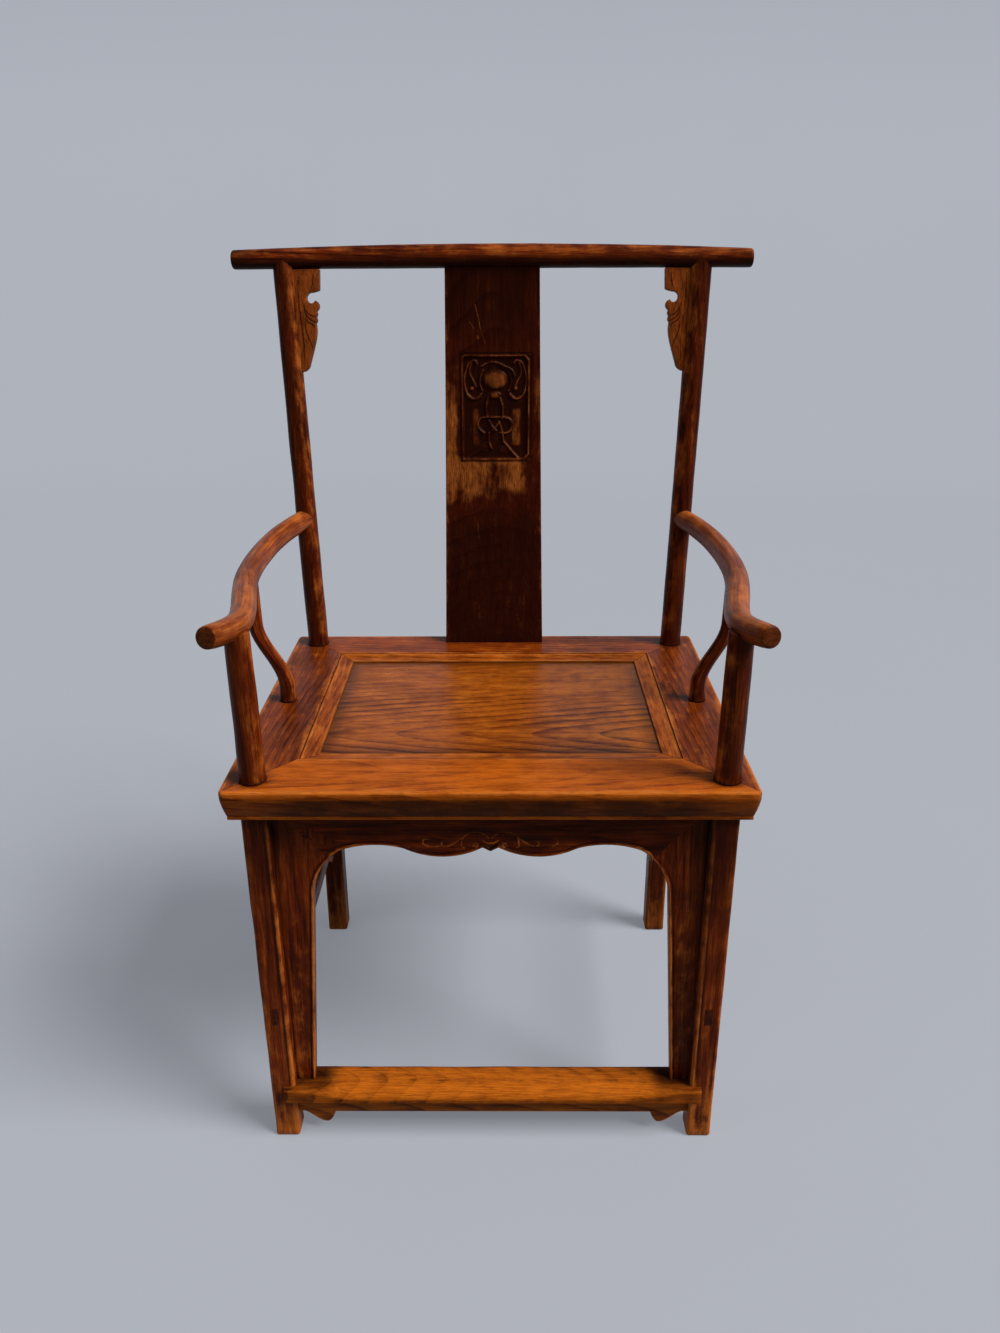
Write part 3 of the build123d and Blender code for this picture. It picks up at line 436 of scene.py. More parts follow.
class Bench:
    """Lays out the nodes of one material."""

    def __init__(self, name: str) -> None:
        """Start an empty material with its output."""
        self.material = bpy.data.materials.new(name)
        self.material.use_nodes = True
        self.tree = self.material.node_tree
        self.tree.nodes.clear()
        self.output = self.tree.nodes.new("ShaderNodeOutputMaterial")

    def node(self, kind: str, inputs: Optional[dict] = None, **settings: object) -> bpy.types.Node:
        """Add a node.

        Args:
            kind: the end of its type's name, after ShaderNode.
            inputs: values or sockets for its inputs, by name or number.
            settings: its own settings.

        Returns:
            The new node.
        """
        made = self.tree.nodes.new("ShaderNode" + kind)
        for label, value in settings.items():
            setattr(made, label, value)
        for label, value in (inputs or {}).items():
            socket = made.inputs[label]
            if isinstance(value, Socket):
                self.tree.links.new(value, socket)
            else:
                socket.default_value = value
        return made

    def sum(self, action: str, first: object, second: object = 0.0, third: object = 0.0, clamp: bool = False) -> Socket:
        """One step of arithmetic."""
        made = self.node("Math", {0: first, 1: second, 2: third}, operation=action, use_clamp=clamp)
        return made.outputs[0]

    def plus(self, first: object, second: object, times: float) -> Socket:
        """The first value and so many times the second."""
        return self.sum("ADD", first, self.sum("MULTIPLY", second, times))

    def noise(self, place: object, scale: float, detail: float = 3.0, rough: float = 0.55) -> Socket:
        """Soft random values between about 0.3 and 0.7."""
        inputs = {"Vector": place, "Scale": scale, "Detail": detail, "Roughness": rough}
        return self.node("TexNoise", inputs, noise_dimensions="3D").outputs["Fac"]

    def stretched(self, place: object, scale: tuple, shift: tuple = (0, 0, 0)) -> Socket:
        """The place with each axis scaled and shifted."""
        return self.node("Mapping", {"Vector": place, "Scale": scale, "Location": shift}).outputs[0]

    def between(self, value: object, low: float, high: float, out_low: float = 0.0, out_high: float = 1.0) -> Socket:
        """A soft step: out_low under low, out_high over high."""
        inputs = {"Value": value, "From Min": low, "From Max": high, "To Min": out_low, "To Max": out_high}
        return self.node("MapRange", inputs, interpolation_type="SMOOTHSTEP").outputs[0]

    def mix(self, share: object, first: object, second: object) -> Socket:
        """Two colours mixed."""
        made = self.node("Mix", {0: share}, data_type="RGBA", blend_type="MIX")
        for number, value in ((6, first), (7, second)):
            if isinstance(value, Socket):
                self.tree.links.new(value, made.inputs[number])
            else:
                made.inputs[number].default_value = (*value, 1)
        return made.outputs[2]


@dataclass(frozen=True)
class LacqueredElm:
    """Elm under old red-brown lacquer: rings, fibres and pores, patina, worn and grimy places, painted highlights and
    painted shade.
    """

    name: str
    grain: Grain = Grain.ACROSS
    deep: Colour = (0.017, 0.0015, 0.0007)
    body: Colour = (0.120, 0.0155, 0.0022)
    bright: Colour = (0.36, 0.074, 0.0080)
    # worn is also the colour of the highlights painted on through the wear mask
    worn: Colour = (0.50, 0.150, 0.026)
    heart: tuple[float, float, float] = (0.0, 0.0, -60.0)  # millimetres: where the rings are centred
    ring_pitch: float = 9.0
    run_out: float = 0.12  # how much the rings cone along the grain
    ring_share: float = 0.35
    ring_ink: float = 0.45  # how far the rings darken worn wood
    wobble: float = 0.019  # metres: how far the rings wander
    streak_share: float = 1.1
    pore_ink: float = 0.55
    quiet_from: float = 9.0  # metres to the side of the heart where the rings begin to fade
    patina: float = 0.55
    level: float = 0.5  # above a half the piece is lighter
    wear_reach: float = 1.0
    roughness: float = 0.36
    gloss: float = 0.09
    seed: float = 0.0

    def turned(self, bench: Bench) -> Socket:
        """Places with X along the grain, measured from the heart."""
        heart = tuple(v * MM for v in self.heart)
        if self.grain is Grain.FOLLOWING:
            place = bench.node("Attribute", attribute_name="member").outputs["Vector"]
            return bench.stretched(place, (1, 1, 1), heart)
        place = bench.node("TexCoord").outputs["Object"]
        return bench.node("Mapping", {"Vector": place, "Rotation": TURN[self.grain], "Location": heart}).outputs[0]

    def wandering(self, bench: Bench, turned: object, shift: tuple) -> Socket:
        """The same places, moved a little from side to side as wood grows."""
        axes = bench.stretched(turned, WANDER, shift)
        bent = bench.node("TexNoise", {"Vector": axes, "Scale": 1.0, "Detail": 2.0}).outputs["Color"]
        sway = (0.0, self.wobble, self.wobble)
        for action, other in (("ADD", (-0.5, -0.5, -0.5)), ("MULTIPLY", sway), ("ADD", turned)):
            bent = bench.node("VectorMath", {0: bent, 1: other}, operation=action).outputs[0]
        return bent

    def rings(self, bench: Bench, bent: object, figure: object) -> Socket:
        """The year rings: each darkens slowly and ends at once, and they fade here and there."""
        parts = bench.node("SeparateXYZ", {0: bent}).outputs
        squares = [bench.sum("POWER", part, 2.0) for part in parts[1:3]]
        reach = bench.plus(bench.sum("SQRT", bench.sum("ADD", *squares)), parts[0], self.run_out)
        within = bench.sum("FRACT", bench.sum("MULTIPLY", reach, 1 / (self.ring_pitch * MM)))
        rings = bench.sum("SUBTRACT", bench.sum("POWER", within, RING_POWER), bench.between(within, 0.96, 1.0))
        rings = bench.sum("MULTIPLY", rings, bench.between(figure, 0.36, 0.62, 0.25, 1.15))
        beside = bench.sum("ABSOLUTE", parts[1])
        quiet = bench.between(beside, self.quiet_from, self.quiet_from + QUIET_REACH, 1.0, 0.22)
        return bench.sum("MULTIPLY", rings, quiet)

    def dressed(self) -> bpy.types.Material:
        """Make the material."""
        bench = Bench(self.name)
        shift = (self.seed, self.seed * 1.7, self.seed * 0.6)
        turned = self.turned(bench)
        bent = self.wandering(bench, turned, shift)

        def layer(place: object, along: float, across: float, detail: float, rough: float) -> Socket:
            """Random values, so many a metre along the grain and across it."""
            return bench.noise(bench.stretched(place, (along, across, across), shift), 1.0, detail, rough)

        figure, fibres, pores, clouds, smudges = (layer(turned, *sizes) for sizes in LAYERS)
        streaks = layer(bent, *STREAKS)
        rings = self.rings(bench, bent, figure)
        tone = bench.sum("MULTIPLY_ADD", streaks, self.streak_share, self.level - 0.625 - self.streak_share / 2)
        tone = bench.plus(bench.plus(tone, fibres, 0.80), smudges, 0.45)
        tone = bench.sum("SUBTRACT", tone, bench.sum("MULTIPLY", rings, self.ring_share), clamp=True)
        base = bench.mix(bench.between(tone, 0.02, 0.52), self.deep, self.body)
        base = bench.mix(bench.between(tone, 0.42, 0.92), base, self.bright)
        patina = bench.sum("MULTIPLY", bench.between(clouds, 0.40, 0.66), self.patina)
        base = bench.mix(patina, base, self.deep)
        # The wear mask lays on the worn colour, for rubbed places and painted highlights; the grime mask lays on a dark
        # colour, for dirty thick lacquer and painted shade.
        wear_and_highlight, grime_and_shade = (bench.node("Attribute", attribute_name=label).outputs["Fac"] for label in ("wear_and_highlight", "grime_and_shade"))
        rubbed = bench.plus(wear_and_highlight, bench.sum("SUBTRACT", smudges, 0.5), 1.3)
        rubbed = bench.plus(rubbed, bench.sum("SUBTRACT", streaks, 0.5), 0.8)
        rubbed = bench.sum("MULTIPLY", bench.between(rubbed, 0.25, 0.95), self.wear_reach, clamp=True)
        base = bench.mix(rubbed, base, bench.mix(bench.between(fibres, 0.35, 0.65), self.bright, self.worn))
        base = bench.mix(bench.sum("MULTIPLY", rings, self.ring_share * self.ring_ink, clamp=True), base, self.deep)
        base = bench.mix(bench.between(pores, *PORE_STEP, 0.0, self.pore_ink), base, self.deep)
        # Dirty thick lacquer and painted shade darken the colour where the grime mask is high
        dirt_and_shade = bench.sum("MULTIPLY", grime_and_shade, bench.between(smudges, 0.25, 0.6, 0.75, 1.0), clamp=True)
        base = bench.mix(dirt_and_shade, base, DIRT_AND_SHADE)
        rough = bench.plus(self.roughness, bench.sum("SUBTRACT", clouds, 0.5), 0.35)
        rough = bench.plus(rough, rubbed, 0.10)
        grooves = bench.plus(bench.sum("MULTIPLY", fibres, 0.5), streaks, 1.2)
        grooves = bench.sum("SUBTRACT", grooves, bench.between(pores, *PORE_STEP, 0.0, 0.5))
        bump = bench.node("Bump", {"Height": grooves, "Strength": 0.35, "Distance": GROOVE_DEPTH})
        shader = bench.node("BsdfPrincipled", {"Base Color": base, "Roughness": rough, "Normal": bump.outputs[0]})
        shader.inputs["Specular IOR Level"].default_value = self.gloss
        shader.inputs["Specular Tint"].default_value = LACQUER_TINT
        bench.tree.links.new(shader.outputs[0], bench.output.inputs[0])
        return bench.material


@dataclass(frozen=True)
class Paper:
    """The plain pale sheet that the chair stands on."""

    name: str = "pale_paper"
    colour: Colour = (0.222, 0.234, 0.262)
    glow: Colour = (0.163, 0.1715, 0.193)  # an even brightness, as of a sheet lit from behind

    def dressed(self) -> bpy.types.Material:
        """Make the material, with the faintest cloudiness."""
        bench = Bench(self.name)
        place = bench.node("TexCoord").outputs["Object"]
        clouds = bench.noise(place, 1.3, 2.0)
        colour = bench.mix(clouds, self.colour, tuple(v * 1.05 for v in self.colour))
        height = bench.node("SeparateXYZ", {0: place}).outputs[2]
        glow = bench.mix(bench.between(height, 0.0, 2.4), self.glow, tuple(v * 1.73 for v in self.glow))
        inputs = {"Base Color": colour, "Roughness": 0.95, "Emission Color": glow, "Emission Strength": 1.0}
        shader = bench.node("BsdfPrincipled", inputs)
        shader.inputs["Specular IOR Level"].default_value = 0.1
        bench.tree.links.new(shader.outputs[0], bench.output.inputs[0])
        return bench.material


POST = LacqueredElm(
    "elm_front_post", Grain.UPRIGHT, heart=(0, 25, -14), ring_pitch=8, run_out=0.03, ring_share=0.18, seed=1.3
)
RAIL = LacqueredElm(
    "elm_seat_rail_front", body=(0.200, 0.032, 0.0025), bright=(0.46, 0.098, 0.0055), heart=(30, 190, -470),
    run_out=0.10, ring_share=0.30, streak_share=0.8, patina=0.22, level=0.80, roughness=0.33, gloss=0.07, seed=9.3,
)
MOULDING = LacqueredElm(
    "elm_moulding_across", body=(0.170, 0.029, 0.0028), bright=(0.42, 0.092, 0.0060), heart=(0, 150, -480),
    ring_share=0.25, streak_share=0.7, patina=0.30, level=0.70, roughness=0.34, seed=11.2,
)
PLAIN = LacqueredElm("elm_plain_across", heart=(0, 120, -400), level=0.40, seed=18.6)
ALL_WOODS = (
    POST,
    replace(POST, name="elm_back_post", level=0.42, seed=2.2),
    LacqueredElm(
        "elm_arm", Grain.FOLLOWING, body=(0.160, 0.026, 0.0040), bright=(0.40, 0.098, 0.0150), heart=(0, 10, -40),
        ring_pitch=7, run_out=0.05, ring_share=0.2, streak_share=0.8, patina=0.25, level=0.60, roughness=0.34,
        gloss=0.12, seed=4.1,
    ),
    LacqueredElm("elm_side_post", Grain.FOLLOWING, heart=(0, 14, -10), run_out=0.04, seed=5.6),
    LacqueredElm(
        "elm_crest", heart=(0, -240, -990), ring_pitch=8, run_out=0.05, level=0.47, wear_reach=0.75, gloss=0.12,
        seed=6.4,
    ),
    LacqueredElm(
        "elm_splat", Grain.UPRIGHT, deep=(0.013, 0.0010, 0.0006), body=(0.050, 0.0062, 0.0015),
        bright=(0.17, 0.040, 0.0065), worn=(0.34, 0.100, 0.018), heart=(-600, 34, 4), run_out=0.20,
        ring_share=0.16, streak_share=0.7, patina=0.35, level=0.40, roughness=0.34, seed=7.7,
    ),
    LacqueredElm(
        "elm_bracket", Grain.UPRIGHT, heart=(0, 235, -20), ring_share=0.3, level=0.44, wear_reach=0.3, seed=8.8
    ),
    RAIL,
    replace(RAIL, name="elm_seat_rail_back", level=0.50, gloss=0.12),
    LacqueredElm(
        "elm_rail_deep", Grain.DEEP, body=(0.150, 0.024, 0.0025), bright=(0.38, 0.080, 0.0060), heart=(0, 0, -440),
        run_out=0.10, ring_share=0.30, streak_share=0.8, patina=0.45, roughness=0.33, gloss=0.12, seed=10.6,
    ),
    MOULDING,
    replace(MOULDING, name="elm_moulding_deep", grain=Grain.DEEP, heart=(0, 60, -470), level=0.62),
    LacqueredElm(
        "elm_panel", deep=(0.050, 0.0075, 0.0012), body=(0.185, 0.034, 0.0030), bright=(0.410, 0.100, 0.0070),
        worn=(0.47, 0.138, 0.013), heart=(14, 92, -484), ring_pitch=14, run_out=-0.17, ring_share=0.95,
        ring_ink=0.95, wobble=0.012, streak_share=0.60, pore_ink=0.9, quiet_from=0.055, patina=0.32, level=0.71,
        roughness=0.30, gloss=0.22, seed=12.4,
    ),
    LacqueredElm(
        "elm_apron", heart=(0, 150, -430), ring_pitch=8, ring_share=0.15, level=0.33, patina=0.5, run_out=0.08,
        seed=13.1,
    ),
    LacqueredElm(
        "elm_arch_board", Grain.UPRIGHT, heart=(0, 230, -12), ring_share=0.2, level=0.48, run_out=0.05, seed=14.9
    ),
    LacqueredElm(
        "elm_foot_rail", body=(0.160, 0.036, 0.0040), bright=(0.34, 0.075, 0.0050), worn=(0.51, 0.128, 0.008),
        heart=(-30, 222, -76), ring_pitch=20, run_out=0.55, ring_share=0.75, streak_share=0.8, patina=0.25,
        level=0.62, gloss=0.04, seed=15.8,
    ),
    LacqueredElm(
        "elm_foot_apron", body=(0.15, 0.030, 0.0030), bright=(0.40, 0.100, 0.0070), heart=(0, 180, -20),
        level=0.74, seed=16.3,
    ),
    LacqueredElm("elm_stretcher", Grain.DEEP, heart=(0, 230, -180), run_out=0.05, seed=17.4),
    PLAIN,
    replace(PLAIN, name="elm_plain_deep", grain=Grain.DEEP),
)
WOODS = {wood.name: wood for wood in ALL_WOODS}


@cache
def finish(name: str) -> bpy.types.Material:
    """The material of a finish, made once."""
    return WOODS[name].dressed()


def fitted(piece: Piece, wood: str, node: str) -> Piece:
    """Dress a new piece and put it in its place in the chair.

    Args:
        piece: the new piece.
        wood: the name of its finish.
        node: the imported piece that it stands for.

    Returns:
        The piece.
    """
    piece.data.materials.clear()
    piece.data.materials.append(finish(wood))
    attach(piece, BODY)
    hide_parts(node)
    log.info("%s: %d faces, %s", piece.name, len(piece.data.polygons), wood)
    return piece


def made(node: str, wood: str, skin: Skin, smooth: float = 40.0, slot: str = "lacquered_elm") -> Piece:
    """Roll a finer piece for a packed one, dress it and put it in its place."""
    return fitted(rolled(node + "_fine", skin, smooth), wood, node)


# ------------------------------------------------------------------ legs and posts
@dataclass
class Posts:
    """The four legs, each running on above the seat as a round post."""

    leg_width: float = 31.0
    corner_radius: float = 4.0
    radius: float = 15.0
    front_foot: tuple[float, float] = (264.5, -206.0)
    front_neck: tuple[float, float] = (262.0, -206.0)
    front_head: float = 691.0
    front_head_radius: float = 14.0
    back_foot: tuple[float, float] = (265.5, 213.5)
    back_neck: tuple[float, float] = (260.5, 205.0)
    back_head: float = 1045.0
    back_head_radius: float = 14.3
    spread: float = 16.0  # how far a back post leans out by the crest rail
    rake: float = 46.0  # and back
    pitch: float = 11.0  # from one ring of points to the next
    foot_rounding: float = 3.0
    collar: float = 0.9  # the fine ring round a post where it leaves the seat
    dent: float = 0.35
    groove_from: float = 86.0
    groove_depth: float = 1.1
    groove_turn: float = 33.0  # degrees from a front leg's front round to the groove
    bead_turn: float = 38.0  # and to the middle of the bead

    def back_centre(self, z: Array) -> tuple[Array, Array]:
        """Centre of a back post at height z: it leans out and curves gently back."""
        share = np.maximum(0.0, (z - SEAT_TOP) / (CREST_UNDERSIDE - SEAT_TOP))
        return self.back_neck[0] + self.spread * share**1.15, self.back_neck[1] + self.rake * share**1.5

    def levels(self, head: float) -> Array:
        """Heights of the rings of a post, close together at its foot and where it leaves the seat."""
        return np.concatenate(
            [
                [0, 0.8, 3.0],
                spaced(10, SEAT_UNDERSIDE - 2, self.pitch),
                [SEAT_UNDERSIDE + 6, SEAT_UNDERSIDE + 20],
                SEAT_TOP + np.array([-1, 0.4, 1.6, 2.8, 4.2, 9]),
                spaced(SEAT_TOP + 16, head, self.pitch),
            ]
        )

    def marks(self, side: int, front: bool, z: Array) -> tuple[Array, Array, Array]:
        """Where a post is marked, at each height and each of SQUARE_ANGLES.

        Args:
            side: -1 for the left, 1 for the right.
            front: whether it is a front one.
            z: heights of its rings.

        Returns:
            Its wear, with painted highlights on the inner sides above the seat; its grime, with painted shade; and
            where the groove is cut.
        """
        upper = z > SEAT_UNDERSIDE
        degrees = np.degrees(SQUARE_ANGLES)
        groove = np.abs(degrees - (270 - self.groove_turn * side)) < 1
        bead = np.abs(degrees - (270 - self.bead_turn * side)) < 4.5
        grooved = front & groove & ~upper & (z > self.groove_from)
        wear_and_highlight = np.where(upper, 0.12, 0.45 * hump(degrees % 90, 45, 8.5) + 0.02)
        wear_and_highlight = wear_and_highlight + 0.28 * (front & bead & ~groove & ~upper) * (0.4 + 0.6 * eased((420 - z) / 260))
        inner, facing = np.clip(-side * np.cos(SQUARE_ANGLES), 0, 1), np.clip(-np.sin(SQUARE_ANGLES), 0, 1)
        # Above the seat the inner side is lighter and the outer side darker: painted light and painted shade, as on a
        # left post lit from the right, laid on both sides alike, with some rubbing on the inner side too.
        wear_and_highlight = wear_and_highlight + np.where(upper, 0.40 * inner * (0.4 + facing), 0.12 * inner)
        wear_and_highlight = wear_and_highlight + 0.48 * hump(z, 0, 75) + 0.18 * eased((260 - z) / 220)
        grime_and_shade = np.where(upper, 0.62 * (1 - inner) ** 0.8 * (1 - 0.3 * facing), 0.0)
        # Below the seat each leg darkens towards the apron: painted shade under the seat. The ring where a post leaves
        # the seat is a dark joint, a groove is dark, and a back leg is darker all over below the seat.
        grime_and_shade = most(grime_and_shade, 0.95 * hump(z, SEAT_TOP + 1.0, 2.6), 0.60 * eased((z - 300) / 160) * ~upper)
        grime_and_shade = np.where(grooved, 0.85, grime_and_shade if front else most(grime_and_shade, 0.5 * ~upper))
        return wear_and_highlight, grime_and_shade, grooved

    def post(self, side: int, front: bool) -> Piece:
        """One leg and its post.

        Args:
            side: -1 for the left, 1 for the right.
            front: whether it is a front one.

        Returns:
            The finished piece.
        """
        end = "front" if front else "back"
        head, tip = (self.front_head, self.front_head_radius) if front else (self.back_head, self.back_head_radius)
        foot, neck = (self.front_foot, self.front_neck) if front else (self.back_foot, self.back_neck)
        heights = self.levels(head)
        share = heights / SEAT_UNDERSIDE
        above = neck if front else self.back_centre(heights)
        x, y = (np.where(share < 1, foot[k] + (neck[k] - foot[k]) * share, above[k]) for k in (0, 1))
        climb = np.clip((heights - SEAT_TOP) / (head - SEAT_TOP), 0, 1)
        centre = xyz(side * x, y + SEAT_CENTRE_Y, heights)[:, None]
        z = heights[:, None]
        square = square_reach(self.leg_width / 2, self.corner_radius)
        reach = np.where(z > SEAT_UNDERSIDE, between(self.radius, tip, climb)[:, None], square)
        reach = reach - rounding_loss(z, self.foot_rounding) * 0.9
        reach = reach + np.where((z > SEAT_TOP) & (z < SEAT_TOP + 2), self.collar, 0.0)
        x, y = centre[..., 0] + reach * np.cos(SQUARE_ANGLES), centre[..., 1] + reach * np.sin(SQUARE_ANGLES)
        rows = xyz(x, y, z)
        dent = self.dent * (1 + ripple(rows, 70, 10 + side + 3 * front)) * (z > 4)
        inward = (rows - centre) / np.maximum(reach, 1)[:, :, None]
        rows = rows - inward * dent[:, :, None] * np.array([1, 1, 0])
        wear_and_highlight, grime_and_shade, grooved = self.marks(side, front, z)
        rows = rows - inward * np.where(grooved, self.groove_depth, 0.0)[:, :, None]
        name = f"{end}_post_{SIDES[side]}"
        return made(name, f"elm_{end}_post", Skin(rows, wear_and_highlight, grime_and_shade), 50)

    def build(self) -> None:
        """Make all four."""
        for side in SIDES:
            for front in (True, False):
                self.post(side, front)


# ------------------------------------------------------------------ arms and side posts
@dataclass
class Arms:
    """The two bent arms and the slender posts under their middles.

    Each of the bows gives a share of the way from the front post to the back one, and how far out and up the
    arm stands from the line between them. Each of the tip's rings gives how far before the tip it lies, and how
    much thinner than the arm it is.
    """

    posts: Posts
    height: float = 690.0
    back_rise: float = 13.0
    bows: tuple[tuple[float, float, float], ...] = (
        (0.857, 20.5, 8.5),
        (0.632, 34.8, 1.5),
        (0.406, 29.6, 0.0),
        (0.223, 14.2, 0.0),
        (0.050, 4.3, 1.0),
    )
    tip_reach: float = 47.0
    tip_flare: float = 18.0
    tip_rise: float = 12.0
    radius: float = 14.4
    tip_radius: float = 12.2
    tip_rings: tuple[tuple[float, float], ...] = ((3.0, 0.0), (1.6, 0.35), (0.7, 1.1), (0.0, 2.6), (0.0, 6.0))
    back_radius: float = 13.6
    rings: int = 96
    side_post_y: float = 4.0
    side_post_foot_x: float = 265.0
    side_post_radii: tuple[float, float] = (10.2, 8.5)
    sway_start: float = 22.0
    sway_rise: float = 84.0

    def route(self, side: int) -> Array:
        """The centre line from the back post, over the front post, to the free tip."""
        back_x, back_y = self.posts.back_centre(self.height + self.back_rise)
        front_x, front_y = self.posts.front_neck
        stops = [(side * back_x, back_y + SEAT_CENTRE_Y, self.height + self.back_rise)]
        for share, bow, rise in self.bows:
            x = between(front_x, back_x, share) + bow
            y = between(front_y, back_y, share)
            stops.append((side * x, y + SEAT_CENTRE_Y, self.height + rise))
        tip_y = front_y - self.tip_reach + SEAT_CENTRE_Y
        stops.append((side * (front_x + self.tip_flare), tip_y, self.height + self.tip_rise))
        return spline(stops, self.rings)

    def arm(self, side: int) -> Piece:
        """One arm, its tip rounded over and darkened by hands."""
        line = self.route(side)
        run = unit(np.gradient(line, axis=0))
        before, thinner = np.array(self.tip_rings).T
        line = np.concatenate([line[:-2], line[-1] - run[-1] * before[:, None]])
        run = np.concatenate([run[:-2], np.repeat(run[-1:], len(before), axis=0)])
        share = np.linspace(0, 1, len(line))
        swelling = 1 - np.abs(2 * share - 1) ** 3
        radius = between(between(self.back_radius, self.tip_radius, share), self.radius, swelling)
        radius[-len(before) :] = self.tip_radius - thinner
        across = unit(np.cross(run, UP))
        upward = np.cross(across, run)
        share = share[:, None]
        sine = np.sin(round_section(36))
        top, under = np.clip(sine, 0, 1), np.clip(-sine, 0, 1)
        wear_and_highlight = 0.12 + 0.34 * top * (0.5 + 0.5 * np.sin(share * 9 + 1.0))
        wear_and_highlight = wear_and_highlight + 0.25 * top * hump(share, 0.97, 0.12)
        # Darker on the underside, at the joint with the back post and on the end of the tip.
        grime_and_shade = np.maximum(0.55 * under, 0.9 * hump(share, 0.0, 0.012))
        grime_and_shade[-3:] = 0.72
        name = f"arm_{SIDES[side]}"
        return fitted(bar(name + "_fine", line, across, upward, (radius, radius), wear_and_highlight, grime_and_shade), "elm_arm", name)

    def side_post(self, side: int) -> Piece:
        """One side post: upright at both ends, swaying outward in between."""
        line = self.route(1)
        order = np.argsort(line[:, 1])
        y = self.side_post_y + SEAT_CENTRE_Y
        head_x, head_z = (np.interp(y, line[order, 1], line[order, k]) for k in (0, 2))
        collar = [SEAT_TOP - 1, SEAT_TOP + 0.6, SEAT_TOP + 1.8, SEAT_TOP + 3]
        heights = np.concatenate([collar, spaced(SEAT_TOP + 8, head_z, 6)])
        ease = eased((heights - SEAT_TOP - self.sway_start) / self.sway_rise)
        centres = xyz(side * between(self.side_post_foot_x, head_x, ease), y, heights)
        radius = between(*self.side_post_radii, (heights - SEAT_TOP) / (head_z - SEAT_TOP))
        radius = radius + np.where((heights > SEAT_TOP) & (heights < SEAT_TOP + 2), 0.8, 0)
        inner = np.clip(-side * np.cos(round_section(28)), 0, 1)
        z = heights[:, None]
        # The inner side is lighter and the outer side darker: painted light and painted shade, laid on both sides
        # alike, with some rubbing on the inner side too. Dark rings mark the joints at the seat and under the arm.
        wear_and_highlight = 0.10 + 0.35 * inner + np.zeros_like(z)
        grime_and_shade = most(0.30 * (1 - inner), 0.9 * hump(z, SEAT_TOP + 1, 2.4), 0.8 * hump(z, head_z - 14, 5))
        name = f"side_post_{SIDES[side]}"
        piece = bar(name + "_fine", centres, RIGHT, BACK, (radius, radius), wear_and_highlight, grime_and_shade)
        return fitted(piece, "elm_side_post", name)

    def build(self) -> None:
        """Make both arms and both side posts."""
        for side in SIDES:
            self.arm(side)
            self.side_post(side)


